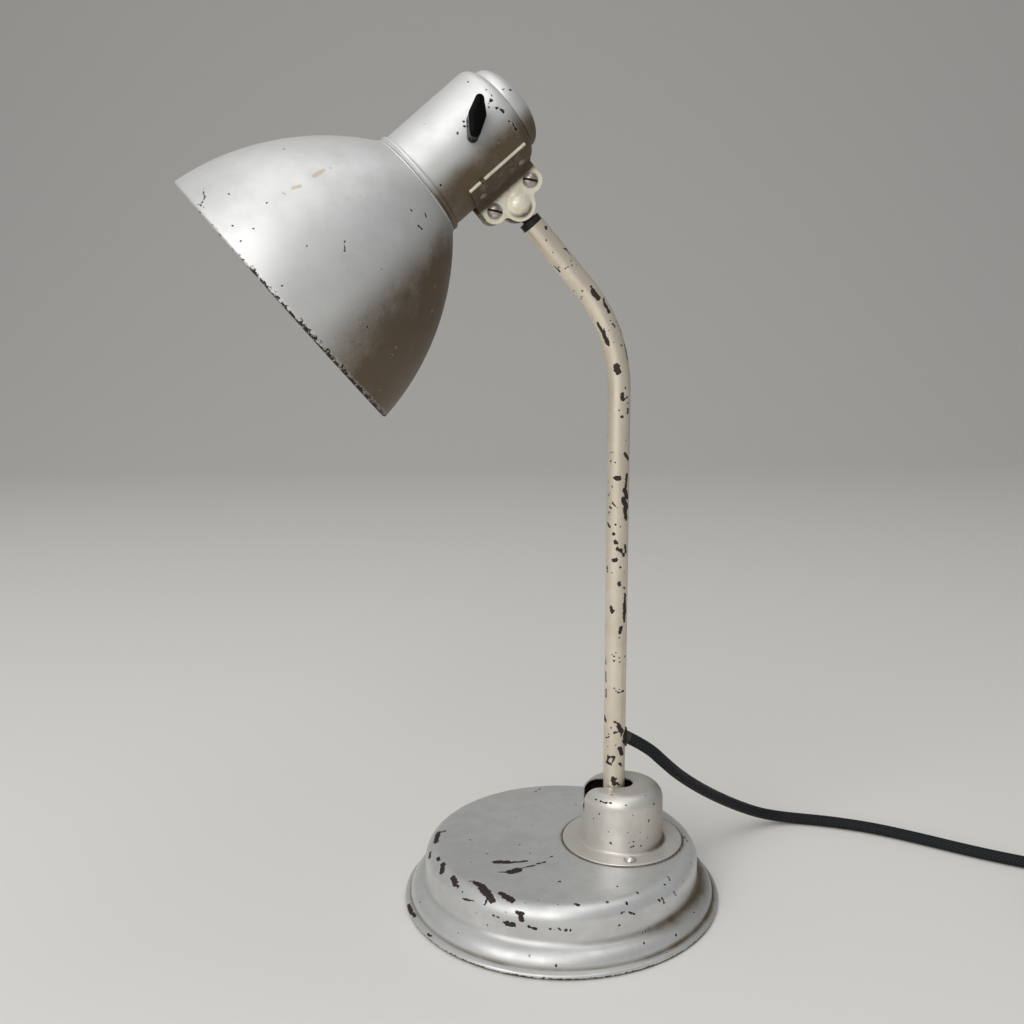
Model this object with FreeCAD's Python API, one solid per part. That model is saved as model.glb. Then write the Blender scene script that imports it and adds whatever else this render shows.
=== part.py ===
import FreeCAD, Part
import math
import os
from FreeCAD import Placement, Rotation, Vector

# Desk lamp with a slotted hub, a bent tube arm, a ball-jointed head and a spun shade.
# Millimetres, +Z up. The origin is the middle of the round foot, on the table.
# The foot, hub and pivot are symmetric about the XZ plane, and the head hangs towards -X.

# Clearances
seat_gap = 0.02        # between pieces of one body that are seated in each other
run_gap = 0.05         # radial play of a pin, shaft or ball that turns
slide_gap = 0.15       # side play of faces that slide on each other
free_gap = 0.5         # room round something that moves past
overrun = 5.0          # how far a cutting tool runs past the stock

# Foot: pressed shell with a rolled rim, a beaded skirt and a round shoulder
foot_r = 85.0
foot_h = 30.0
shell_t = 1.0
rim_roll_r = 1.3
rim_lift = 0.3
groove_r = 82.0
groove_h = 3.7
bead_mid_r = 80.6
bead_mid_h = 8.0
bead_top_r = 76.3
bead_top_h = 10.9
waist_mid_r = 74.3
waist_mid_h = 12.3
wall_r = 73.5
wall_low_h = 14.8
shoulder_r = 8.0

# Iron weight, bottom cover and felt
weight_r = 58.0
weight_low_h = 4.2
weight_chamfer = 2.0
cover_t = 1.0
cover_edge_gap = 0.6
felt_inset = 6.0
felt_hole_r = 13.0

# Hub: drawn cap with a flange, a round shoulder and a slot for the arm
hub_x = 33.4
hub_r = 21.8
hub_crown = 19.5
hub_shoulder_r = 7.5
flange_r = 32.2
flange_t = 0.9
flange_fillet = 2.0
slot_rise = 5.5
slot_reach = 5.8

# Screws of the hub flange
flange_screw_pcr = 26.55
flange_screw_turn = 3.5
flange_screw_r = 1.5
flange_screw_len = 4.5
dome_head_r = 2.7
dome_head_h = 2.0

# Arm: drawn tube with one bend, leaning and turned a little as it was left
arm_x = 28.7
pivot_rise = 10.5
arm_lean = 0.45
arm_turn = 10.4
tube_r = 5.75
tube_t = 1.0
tube_corner_h = 302.6
bend_angle = 41.0
bend_r = 78.0
upper_reach = 79.5
tube_end_gap = 11.9

# Pivot in the hub
eye_r = 6.5
foot_half_w = 4.0
foot_collar_low = 7.9
foot_collar_t = 1.6
spigot_len = 13.0
pivot_r = 2.5
washer_t = 0.8
washer_r = 6.0
cheek_t = 2.0
cheek_r = 7.0
bracket_t = 2.0
bracket_half_l = 13.0
pivot_head_r = 4.2
pivot_head_h = 2.6
nut_across_share = 1.155
pivot_nut_h = 3.2
pivot_tail = 1.2
base_bolt_r = 3.0
base_bolt_head_r = 4.8
base_bolt_head_h = 1.8
base_nut_h = 2.2
base_nut_r = 5.6

# Cord outlet in the tube wall
outlet_h = 88.2
outlet_droop = 30.0
outlet_r = 4.1
outlet_collar_r = 4.7
outlet_collar_t = 0.9
outlet_proud = 2.4
outlet_sheath = 4.5
outlet_lead = 13.0

# Flexible wire inside the tube
flex_r = 1.9
flex_reach = 4.0

# Ball stem in the top of the tube
ball_r = 7.5
stem_r = 3.2
stem_bore_r = 2.05
ferrule_depth = 12.0
ferrule_lip_r = 5.4
ferrule_lip_t = 3.2
stem_nut_r = 4.2
stem_nut_h = 3.0

# Head: where the ball sits, measured down from the neck's top and out from the head's axis
head_rise = 40.35
ball_below = 22.1
ball_out = 37.75

# Shade: spun bell with a rolled rim, measured from its mouth
shade_r = 71.0
shade_mid_r = 56.6
shade_mid_h = 46.6
shade_top_r = 26.9
shade_h = 84.0
shade_t = 0.8
shade_roll_r = 1.1
shade_hole_r = 20.2

# Neck cover with a beaded foot and a round shoulder, and the domed end cap
neck_r = 25.35
neck_t = 0.8
neck_bead_r = 26.65
neck_bead_h = 3.2
neck_shoulder_r = 5.6
neck_room = 9.8
cap_r = 20.9
cap_wall_h = 1.2
cap_dome_h = 9.5
cap_t = 0.8
cap_spigot_h = 3.0

# Clamp plates that hold the ball
plate_gap_half = 5.4
plate_t = 1.2
plate_w = 34.0
clamp_screw_out = 32.35
clamp_screw_pitch = 22.5
screw_lobe_r = 6.0
ball_lobe_r = 7.8
lobe_hollow_r = 2.6
strap_end_angle = 48.0
rivet_angle = 29.0
rivet_pitch = 24.1
rivet_r = 1.2
rivet_head_r = 1.9
rivet_head_h = 0.9
clamp_screw_r = 1.7
clamp_head_r = 3.8
clamp_head_h = 2.0
clamp_slot_w = 0.9
clamp_slot_d = 0.9
clamp_nut_r = 3.6
clamp_nut_h = 2.4
clamp_tail = 1.0

# Lampholder, its ring, sleeve and contact
holder_r = 19.4
holder_reach = 8.0
holder_roof_t = 2.6
holder_shoulder_r = 24.2
holder_shoulder_h = 4.0
ring_r = 25.5
ring_h = 6.0
ring_groove_count = 12
ring_groove_r = 1.4
sleeve_r = 14.1
sleeve_t = 0.5
sleeve_rise = 4.0
contact_r = 8.0
contact_t = 0.6
contact_bend_h = 2.2

# Bulb
bulb_cap_r = 13.2
bulb_cap_h = 24.0
bulb_len = 95.0
bulb_r = 27.5
bulb_neck_r = 13.8
bulb_glass_t = 0.8
bulb_tip_r = 4.8
bulb_tip_h = 2.0
bulb_leave_angle = 38.0
bulb_waist_share = 0.25

# Rotary switch and its key
switch_r = 17.0
switch_gap = 0.4
switch_len = 16.2
switch_roll = 5.2
spindle_share = 0.346
spindle_r = 2.4
spindle_depth = 10.0
key_stand = 26.6
key_deep = 13.5
key_len_up = 10.6
key_len_down = 9.2
key_half_w = 3.9
key_low_half_w = 2.9
key_tip_r = 1.5
key_fillet = 0.8
key_angle = 40.4

# Cord and its route over the table: points are chosen by hand
cord_r = 3.25
cord_lift = 0.05
arc_share = 0.45
table_z = cord_r + cord_lift
drop_points = [
    (57.2, 8.6, 69.4),
    (69.0, 22.0, 54.8),
    (88.0, 42.5, 35.6),
    (108.0, 60.0, 19.4),
    (126.0, 71.5, 8.2),
    (144.5, 75.5, table_z),
    (166.0, 70.5, table_z),
]
run_points = [
    (190.3, 61.3, table_z),
    (212.4, 48.2, table_z),
    (233.1, 34.3, table_z),
    (250.4, 23.8, table_z),
    (269.0, 14.1, table_z),
    (290.5, 5.3, table_z),
    (312.2, -1.7, table_z),
]

# Put-away coil: loops lie a pitch apart in two layers
coil_r_out = 46.7
coil_pitch = 7.0
coil_layer = 6.95
coil_turns = 6.0
coil_climb_turns = 0.5
coil_steps_per_turn = 4
coil_way_step = 0.01

# Plug at the end of the cord
plug_w = 35.3
plug_t = 13.7
plug_len = 34.0
plug_nose_w = 26.0
plug_slope = 2.5
plug_chamfer = 1.25
plug_shoulder_share = 0.33
pin_r = 2.0
pin_tip_h = 1.0
pin_len = 19.0
pin_pitch = 18.6
pin_sleeve_r = 1.9
pin_bare_len = 9.0
sleeve_len = 24.0
sleeve_end_r = 4.0
sleeve_root_r = 5.6
sleeve_bore_share = 0.5
tail_turn = 9.0
tail_turn_shares = (0, -1, -2, -2, -2)
tail_run = 17.0

os.makedirs("parts", exist_ok=True)


# Heights in the hub: the pivot stands on the bracket, and the cap and its slot follow it
bracket_top_h = foot_h + bracket_t
pivot_h = bracket_top_h + pivot_rise
hub_top_h = pivot_h + hub_crown
slot_end_h = pivot_h + slot_rise

# Heights in the head, each from the piece below it
holder_low_h = shade_h - holder_reach
sleeve_low_h = holder_low_h + sleeve_rise
bulb_top_h = sleeve_low_h + bulb_cap_h
bulb_tip_top_h = bulb_top_h + bulb_tip_h
holder_roof_h = bulb_tip_top_h + contact_bend_h + contact_t
holder_top_h = holder_roof_h + holder_roof_t
switch_low_h = holder_top_h + switch_gap
switch_top_h = switch_low_h + switch_len
spindle_h = switch_low_h + spindle_share * switch_len
neck_top_h = switch_top_h + neck_room
ball_along = neck_top_h - ball_below

# Pivot sizes that several pieces share
fork_inner = foot_half_w + slide_gap + washer_t
fork_outer = fork_inner + cheek_t
tube_in_r = tube_r - tube_t
plate_outer = plate_gap_half + plate_t
eighth_turn = math.radians(45)


# Small tools
def point(x, z):
    return Vector(x, 0, z)


def chain(start, steps):
    # edges from start: a pair is a line to a point, two pairs are an arc through the first
    edges = []
    here = point(*start)
    for step in steps:
        if isinstance(step[0], tuple):
            there = point(*step[1])
            edges.append(Part.Arc(here, point(*step[0]), there).toShape())
        else:
            there = point(*step)
            edges.append(Part.LineSegment(here, there).toShape())
        here = there
    return edges


def spun(start, *steps):
    # solid of revolution about Z from a closed outline of (radius, height)
    wire = Part.Wire(chain(start, steps + (start,)))
    return Part.Face(wire).revolve(Vector(0, 0, 0), Vector(0, 0, 1), 360)


def spun_sheet(thickness, start, *steps):
    # sheet of revolution: the outline is its outer side, the sheet lies on its right
    wire = Part.Wire(chain(start, steps))
    sheet = wire.makeOffset2D(thickness, 0, True, True)
    return sheet.revolve(Vector(0, 0, 0), Vector(0, 0, 1), 360)


def rod(radius, low, high):
    return Part.makeCylinder(radius, high - low, Vector(0, 0, low))


def pipe(outer, inner, low, high):
    return rod(outer, low, high).cut(rod(inner, low - overrun, high + overrun))


def box(x_low, x_high, y_low, y_high, z_low, z_high):
    size = (x_high - x_low, y_high - y_low, z_high - z_low)
    return Part.makeBox(*size, Vector(x_low, y_low, z_low))


def hexagon(radius, low, high):
    angles = [math.pi * side / 3 for side in range(7)]
    corners = [Vector(radius * math.cos(angle), radius * math.sin(angle), low) for angle in angles]
    return Part.Face(Part.makePolygon(corners)).extrude(Vector(0, 0, high - low))


def dome(radius, height, low):
    # cap of a sphere with a flat foot
    sphere_r = (radius ** 2 + height ** 2) / (2 * height)
    ball = Part.makeSphere(sphere_r, Vector(0, 0, low + height - sphere_r))
    return ball.common(box(-radius, radius, -radius, radius, low, low + height))


def placed(shape, placement):
    copy = shape.copy()
    copy.Placement = placement.multiply(copy.Placement)
    return copy


def moved(shape, x, y, z):
    return placed(shape, Placement(Vector(x, y, z), Rotation()))


def along_y(shape, x, y, z):
    # turns a piece made along +Z so that it runs along +Y from (x, y, z)
    return placed(shape, Placement(Vector(x, y, z), Rotation(Vector(1, 0, 0), -90)))


def group(solids):
    return Part.makeCompound(solids)


def save(name, shape):
    shape.exportStep("parts/" + name + ".step")


# Path tools
def rounded_path(points, reaches):
    # straight runs joined by tangent arcs that start a reach from each corner
    edges = []
    radii = []
    start = points[0]
    for before, corner, after, reach in zip(points, points[1:], points[2:], reaches):
        back = (before - corner).normalize()
        ahead = (after - corner).normalize()
        half_turn = (math.pi - back.getAngle(ahead)) / 2
        radius = reach / math.tan(half_turn)
        inside = (back + ahead).normalize()
        middle = corner + inside * (radius / math.cos(half_turn) - radius)
        leave = corner + ahead * reach
        edges.append(Part.LineSegment(start, corner + back * reach).toShape())
        edges.append(Part.Arc(corner + back * reach, middle, leave).toShape())
        radii.append(radius)
        start = leave
    edges.append(Part.LineSegment(start, points[-1]).toShape())
    return edges, radii


def swept(wire, radius):
    first = wire.OrderedEdges[0]
    start = first.valueAt(first.FirstParameter)
    ring = Part.Wire(Part.makeCircle(radius, start, first.tangentAt(first.FirstParameter)))
    return wire.makePipeShell([ring], True, False)


def cord_tube(edges, name):
    wire = Part.Wire(edges)
    tube = swept(wire, cord_r)
    share = tube.Volume / (math.pi * cord_r ** 2 * wire.Length)
    print(name, "length %.1f, volume share %.4f" % (wire.Length, share))
    return tube, wire.Length


def cord_edges(points, name):
    # each arc of a free cord is as large as its two runs allow
    runs = [(after - before).Length for before, after in zip(points, points[1:])]
    reaches = [arc_share * min(pair) for pair in zip(runs, runs[1:])]
    edges, radii = rounded_path(points, reaches)
    print(name, "radii", [round(radius, 1) for radius in radii])
    return edges


# Foot shell
def make_base_shell():
    roll_h = rim_lift + 2 * rim_roll_r
    roll_mid = foot_r - rim_roll_r
    sheet = spun_sheet(
        shell_t,
        (roll_mid, roll_h),
        (groove_r, groove_h),
        ((bead_mid_r, bead_mid_h), (bead_top_r, bead_top_h)),
        ((waist_mid_r, waist_mid_h), (wall_r, wall_low_h)),
        (wall_r, foot_h - shoulder_r),
        (shoulder_point(), (wall_r - shoulder_r, foot_h)),
        (0, foot_h),
    )
    roll = Part.makeTorus(roll_mid, rim_roll_r, Vector(0, 0, rim_lift + rim_roll_r))
    shell = sheet.fuse(roll)
    for cutter in foot_holes(base_bolt_r, flange_screw_r):
        shell = shell.cut(cutter)
    return shell


def shoulder_point():
    lift = shoulder_r * math.sin(eighth_turn)
    return (wall_r - shoulder_r + lift, foot_h - shoulder_r + lift)


def foot_holes(bolt_r, screw_r):
    holes = [moved(rod(bolt_r + run_gap, -overrun, foot_h + overrun), arm_x, 0, 0)]
    for x, y in flange_screw_spots():
        holes.append(moved(rod(screw_r + run_gap, -overrun, foot_h + overrun), x, y, 0))
    return holes


def flange_screw_spots():
    turn = math.radians(flange_screw_turn)
    x = hub_x + flange_screw_pcr * math.sin(turn)
    return [(x, side * flange_screw_pcr * math.cos(turn)) for side in (-1, 1)]


def make_base_weight():
    top = foot_h - shell_t
    weight = spun((0, weight_low_h), (weight_r, weight_low_h), (weight_r, top - weight_chamfer),
                  (weight_r - weight_chamfer, top), (0, top))
    for cutter in foot_holes(base_bolt_r, flange_screw_r + free_gap):
        weight = weight.cut(cutter)
    return weight


def make_bottom_cover():
    edge = groove_r - shell_t - cover_edge_gap
    cover = rod(edge, weight_low_h - cover_t, weight_low_h)
    return cover.cut(foot_holes(base_bolt_r, flange_screw_r)[0])


def make_felt_pad():
    felt = rod(groove_r - felt_inset, 0, weight_low_h - cover_t)
    return felt.cut(moved(rod(felt_hole_r, 0, foot_h), arm_x, 0, 0))


# Hub cover: spun cap, cut by the slot that the arm swings in
def make_hub_cover():
    low = foot_h
    fillet = flange_fillet * math.sin(eighth_turn)
    foot_turn = (hub_r + flange_fillet - fillet, low + flange_t + flange_fillet - fillet)
    lift = hub_shoulder_r * math.sin(eighth_turn)
    crown_turn = (hub_r - hub_shoulder_r + lift, hub_top_h - hub_shoulder_r + lift)
    sheet = spun_sheet(
        flange_t,
        (flange_r, low + flange_t),
        (hub_r + flange_fillet, low + flange_t),
        (foot_turn, (hub_r, low + flange_t + flange_fillet)),
        (hub_r, hub_top_h - hub_shoulder_r),
        (crown_turn, (hub_r - hub_shoulder_r, hub_top_h)),
        (0, hub_top_h),
    )
    slot_half = tube_r + free_gap
    end_x = slot_reach - slot_half
    slot = box(-hub_r - overrun, end_x, -slot_half, slot_half, slot_end_h, hub_top_h + overrun)
    slot = slot.fuse(moved(rod(slot_half, slot_end_h, hub_top_h + overrun), end_x, 0, 0))
    cover = moved(sheet.cut(slot), hub_x, 0, 0)
    for x, y in flange_screw_spots():
        hole = rod(flange_screw_r + run_gap, foot_h - overrun, foot_h + overrun)
        cover = cover.cut(moved(hole, x, y, 0))
    return cover


def make_hub_screws():
    seat = foot_h + flange_t
    screw = rod(flange_screw_r, seat - flange_screw_len, seat).fuse(dome(dome_head_r, dome_head_h, seat))
    return group([moved(screw, x, y, 0) for x, y in flange_screw_spots()])


# Fork in the hub, with its bolts, nut and friction washers
def make_pivot_bracket():
    floor_top = bracket_top_h
    fork = box(-bracket_half_l, bracket_half_l, -fork_outer, fork_outer, foot_h, floor_top)
    for side in (-1, 1):
        low, high = sorted((side * fork_inner, side * fork_outer))
        cheek = box(-cheek_r, cheek_r, low, high, floor_top, pivot_h)
        fork = fork.fuse(cheek).fuse(along_y(rod(cheek_r, 0, cheek_t), 0, low, pivot_h))
    pin_hole = rod(pivot_r + seat_gap, -overrun, 2 * fork_outer + overrun)
    fork = fork.cut(along_y(pin_hole, 0, -fork_outer, pivot_h))
    fork = fork.cut(rod(base_bolt_r + run_gap, foot_h - overrun, floor_top + seat_gap))
    return moved(fork.removeSplitter(), arm_x, 0, 0)


def make_base_bolt():
    seat = bracket_top_h
    low = weight_low_h - cover_t - base_nut_h
    bolt = rod(base_bolt_r, low, seat).fuse(rod(base_bolt_head_r, seat, seat + base_bolt_head_h))
    return moved(bolt, arm_x, 0, 0)


def make_base_nut():
    top = weight_low_h - cover_t
    nut = hexagon(base_nut_r, top - base_nut_h, top).cut(rod(base_bolt_r + seat_gap, 0, foot_h))
    return moved(nut, arm_x, 0, 0)


def make_pivot_bolt():
    bolt = rod(pivot_r, 0, 2 * fork_outer + pivot_nut_h + pivot_tail)
    bolt = bolt.fuse(rod(pivot_head_r, -pivot_head_h, 0))
    slot_half = clamp_slot_w / 2
    slot = box(-pivot_head_r, pivot_head_r, -slot_half, slot_half, -pivot_head_h, clamp_slot_d - pivot_head_h)
    return along_y(bolt.cut(slot), arm_x, -fork_outer, pivot_h)


def make_pivot_nut():
    nut = hexagon(pivot_head_r * nut_across_share, 0, pivot_nut_h)
    nut = nut.cut(rod(pivot_r + seat_gap, -overrun, pivot_nut_h + overrun))
    return along_y(nut, arm_x, fork_outer, pivot_h)


def make_friction_washers():
    washer = pipe(washer_r, pivot_r + seat_gap, 0, washer_t)
    near = along_y(washer, arm_x, -fork_inner, pivot_h)
    far = along_y(washer, arm_x, foot_half_w + slide_gap, pivot_h)
    return group([near, far])


outlet_reach = tube_r / math.cos(math.radians(outlet_droop))

# The arm's own frame stands on the pivot, turned and leaning as the arm rests
arm_frame = Placement(Vector(arm_x, 0, pivot_h), Rotation(Vector(0, 0, 1), arm_turn)).multiply(
    Placement(Vector(0, 0, 0), Rotation(Vector(0, 1, 0), arm_lean)))
corner = point(0, tube_corner_h - pivot_h)
upper_angle = math.radians(90 - bend_angle)
upper_way = point(-math.cos(upper_angle), math.sin(upper_angle))
ball_point = corner + upper_way * upper_reach
tube_low = foot_collar_low + foot_collar_t
bend_reach = bend_r * math.tan(math.radians(bend_angle / 2))
stem_frame = Placement(ball_point, Rotation(Vector(0, 0, 1), upper_way))


def arm_path(starts, stop_gap, start_reaches=()):
    # from the given points up the tube, round its bend, to a gap short of the ball
    end = ball_point - upper_way * stop_gap
    edges, radii = rounded_path(list(starts) + [corner, end], list(start_reaches) + [bend_reach])
    return Part.Wire(edges)


def outlet_frame():
    # frame on the cord outlet: its Z runs out of the tube, drooping
    out = point(math.cos(math.radians(outlet_droop)), -math.sin(math.radians(outlet_droop)))
    seat = point(tube_r, outlet_h - pivot_h)
    return Placement(seat, Rotation(Vector(0, 0, 1), out)), out, seat


def make_arm_tube():
    path = arm_path([point(0, tube_low)], tube_end_gap)
    tube = swept(path, tube_r).cut(swept(path, tube_in_r))
    frame, out, seat = outlet_frame()
    hole = placed(rod(outlet_r + seat_gap, -tube_r, overrun), frame)
    return placed(tube.cut(hole), arm_frame)


def make_cord_eyelet():
    # bush in the tube wall, with a thin collar outside that follows the tube
    frame, out, seat = outlet_frame()
    bore = placed(rod(cord_r + seat_gap, -outlet_reach - overrun, overrun), frame)
    collar_r = tube_r + outlet_collar_t
    bush = placed(rod(outlet_r, -tube_r, overrun), frame)
    collar = placed(rod(outlet_collar_r, -tube_r, overrun), frame)
    bush = bush.common(pipe(collar_r, tube_in_r, 0, tube_corner_h))
    collar = collar.common(pipe(collar_r, tube_r + seat_gap, 0, tube_corner_h))
    return placed(bush.fuse(collar).cut(bore), arm_frame)


def make_arm_foot():
    # eye on the pivot, flat shank, collar and a spigot in the tube
    eye = along_y(rod(eye_r, -foot_half_w, foot_half_w), 0, 0, 0)
    shank_half = tube_in_r - seat_gap
    shank = box(-shank_half, shank_half, -foot_half_w, foot_half_w, 0, foot_collar_low)
    collar = rod(tube_r, foot_collar_low, tube_low)
    spigot = rod(shank_half, foot_collar_low, tube_low + spigot_len)
    turned_back = Placement(Vector(0, 0, 0), Rotation(Vector(0, 0, 1), -arm_turn))
    foot = placed(eye.fuse(shank), turned_back).fuse(collar).fuse(spigot)
    bore = along_y(rod(pivot_r + run_gap, -2 * foot_half_w, 2 * foot_half_w), 0, 0, 0)
    return placed(foot.cut(placed(bore, turned_back)), arm_frame)


def make_inner_flex():
    # the cord comes in through the eyelet, and its core runs up the tube to the stem
    frame, out, seat = outlet_frame()
    start = seat + out * outlet_proud
    knee = seat - out * outlet_reach
    stop = tube_end_gap + ferrule_depth + slide_gap + stem_nut_h + free_gap
    core = swept(arm_path([start, knee], stop, [flex_reach]), flex_r)
    sheath = placed(rod(cord_r, outlet_proud - outlet_sheath, outlet_proud), frame)
    return placed(core.fuse(sheath), arm_frame)


def below_ball(shape):
    # turns a piece made upwards from the ball so that it runs down the tube
    down = Placement(Vector(0, 0, 0), Rotation(Vector(1, 0, 0), 180))
    return placed(placed(shape, down), arm_frame.multiply(stem_frame))


def make_tube_ferrule():
    lip_low = tube_end_gap - ferrule_lip_t
    body = pipe(tube_in_r - seat_gap, stem_r + run_gap, tube_end_gap, tube_end_gap + ferrule_depth)
    lip = pipe(ferrule_lip_r, stem_r + run_gap, lip_low, tube_end_gap)
    return below_ball(body.fuse(lip))


def make_ball_stem():
    low = tube_end_gap + ferrule_depth + stem_nut_h + slide_gap
    stem = Part.makeSphere(ball_r).fuse(rod(stem_r, 0, low))
    stem = stem.cut(rod(stem_bore_r, -overrun - ball_r, low + overrun))
    return below_ball(stem)


def make_stem_nut():
    low = tube_end_gap + ferrule_depth + slide_gap
    nut = pipe(stem_nut_r, stem_r + seat_gap, low, low + stem_nut_h)
    return below_ball(nut)


# The head's own frame: +Z runs from the shade's mouth to the end cap, +X points to the ball
head_turn = Rotation(Vector(0, 1, 0), 90 - head_rise)
head_origin = ball_point - head_turn.multVec(Vector(ball_out, 0, ball_along))
head_frame = arm_frame.multiply(Placement(head_origin, head_turn))


def on_head(shape):
    return placed(shape, head_frame)


def make_shade():
    roll_mid = shade_r - shade_roll_r
    sheet = spun_sheet(
        shade_t,
        (shade_r, shade_roll_r),
        ((shade_mid_r, shade_mid_h), (shade_top_r, shade_h - shade_t)),
        (shade_top_r, shade_h),
        (shade_hole_r, shade_h),
    )
    roll = Part.makeTorus(roll_mid, shade_roll_r, Vector(0, 0, shade_roll_r))
    return on_head(sheet.fuse(roll))


def strap_rivet_frames(sides=(-1, 1)):
    # rivets of the straps: radial on the neck, at two heights
    frames = []
    for side in sides:
        for shift in (-rivet_pitch / 2, rivet_pitch / 2):
            turn = Rotation(Vector(0, 0, 1), side * rivet_angle).multiply(Rotation(Vector(0, 1, 0), 90))
            frames.append(Placement(Vector(0, 0, ball_along + shift), turn))
    return frames


def switch_frame():
    # Z runs out of the neck along the spindle
    way = Rotation(Vector(0, 0, 1), -switch_roll).multiply(Rotation(Vector(1, 0, 0), 90))
    return Placement(Vector(0, 0, spindle_h), way)


def make_neck_cover():
    bead_low = shade_h
    bead_top = bead_low + neck_bead_h
    lift = neck_shoulder_r * math.sin(eighth_turn)
    straight_top = neck_top_h - neck_shoulder_r
    sheet = spun_sheet(
        neck_t,
        (neck_r + shade_t, bead_low),
        ((neck_bead_r, (bead_low + bead_top) / 2), (neck_r, bead_top)),
        (neck_r, straight_top),
        ((neck_r - neck_shoulder_r + lift, straight_top + lift), (neck_r - neck_shoulder_r, neck_top_h)),
        (cap_r - 2 * cap_t, neck_top_h),
    )
    for frame in strap_rivet_frames():
        sheet = sheet.cut(placed(rod(rivet_r + seat_gap, 0, neck_r + overrun), frame))
    sheet = sheet.cut(placed(rod(spindle_r + free_gap, 0, neck_r + overrun), switch_frame()))
    wire_hole = Placement(Vector(0, 0, ball_along), Rotation(Vector(0, 1, 0), 90))
    sheet = sheet.cut(placed(rod(flex_r + free_gap, 0, neck_r + overrun), wire_hole))
    return on_head(sheet)


def make_end_cap():
    low = neck_top_h
    rise = low + cap_wall_h
    inner = cap_r - cap_t
    dome_shell = half_dome(cap_r, low, rise, cap_dome_h)
    dome_shell = dome_shell.cut(half_dome(inner, low - overrun, rise, cap_dome_h - cap_t))
    spigot_r = inner - cap_t - seat_gap
    spigot = pipe(spigot_r, spigot_r - cap_t, low - cap_spigot_h, low)
    ledge = pipe(inner + seat_gap, spigot_r - cap_t, low, low + cap_t)
    return on_head(dome_shell.fuse(spigot).fuse(ledge))


def half_dome(radius, low, rise, height):
    # short wall with a half ellipse on it
    wall = rod(radius, low, rise)
    bowl = Part.Ellipse(Vector(0, 0, rise), radius, height)
    bowl.Axis = Vector(0, -1, 0)
    bowl.XAxis = Vector(1, 0, 0)
    arc = Part.ArcOfEllipse(bowl, 0, math.pi / 2).toShape()
    up = Part.LineSegment(point(0, rise + height), point(0, rise)).toShape()
    out = Part.LineSegment(point(0, rise), point(radius, rise)).toShape()
    dome_face = Part.Face(Part.Wire([arc, up, out]))
    return wall.fuse(dome_face.revolve(Vector(0, 0, 0), Vector(0, 0, 1), 360))


clamp_screw_heights = (ball_along - clamp_screw_pitch / 2, ball_along + clamp_screw_pitch / 2)


# Lobed clamp plate: an outline of tangent arcs round the two screws and the ball
def tangent_circle(centre_a, radius_a, centre_b, radius_b, radius, side):
    # centre of the hollow arc that touches both lobes from outside
    across = centre_b - centre_a
    gap = across.Length
    reach_a = radius_a + radius
    reach_b = radius_b + radius
    shift = (reach_a ** 2 - reach_b ** 2 + gap ** 2) / (2 * gap)
    rise = math.sqrt(reach_a ** 2 - shift ** 2)
    way = across.normalize()
    normal = Vector(-way.z, 0, way.x) * side
    return centre_a + way * shift + normal * rise


def arc_between(centre, radius, start, end):
    bisector = ((start - centre).normalize() + (end - centre).normalize()).normalize()
    return Part.Arc(start, centre + bisector * radius, end).toShape()


def plate_outline(root_x):
    ball = point(ball_out, ball_along)
    low, high = [point(clamp_screw_out, height) for height in clamp_screw_heights]
    low_edge = ball_along - plate_w / 2
    high_edge = ball_along + plate_w / 2
    low_hollow = tangent_circle(low, screw_lobe_r, ball, ball_lobe_r, lobe_hollow_r, -1)
    high_hollow = tangent_circle(high, screw_lobe_r, ball, ball_lobe_r, lobe_hollow_r, 1)

    def touch(centre, radius, other):
        return centre + (other - centre).normalize() * radius

    low_start = low + Vector(0, 0, low_edge - low.z)
    high_end = high + Vector(0, 0, high_edge - high.z)
    low_touch = touch(low, screw_lobe_r, low_hollow)
    ball_low = touch(ball, ball_lobe_r, low_hollow)
    ball_high = touch(ball, ball_lobe_r, high_hollow)
    high_touch = touch(high, screw_lobe_r, high_hollow)
    far = ball + Vector(ball_lobe_r, 0, 0)
    edges = [
        Part.LineSegment(point(root_x, low_edge), low_start).toShape(),
        arc_between(low, screw_lobe_r, low_start, low_touch),
        arc_between(low_hollow, lobe_hollow_r, low_touch, ball_low),
        arc_between(ball, ball_lobe_r, ball_low, far),
        arc_between(ball, ball_lobe_r, far, ball_high),
        arc_between(high_hollow, lobe_hollow_r, ball_high, high_touch),
        arc_between(high, screw_lobe_r, high_touch, high_end),
        Part.LineSegment(high_end, point(root_x, high_edge)).toShape(),
        Part.LineSegment(point(root_x, high_edge), point(root_x, low_edge)).toShape(),
    ]
    return Part.Face(Part.Wire(edges))


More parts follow.
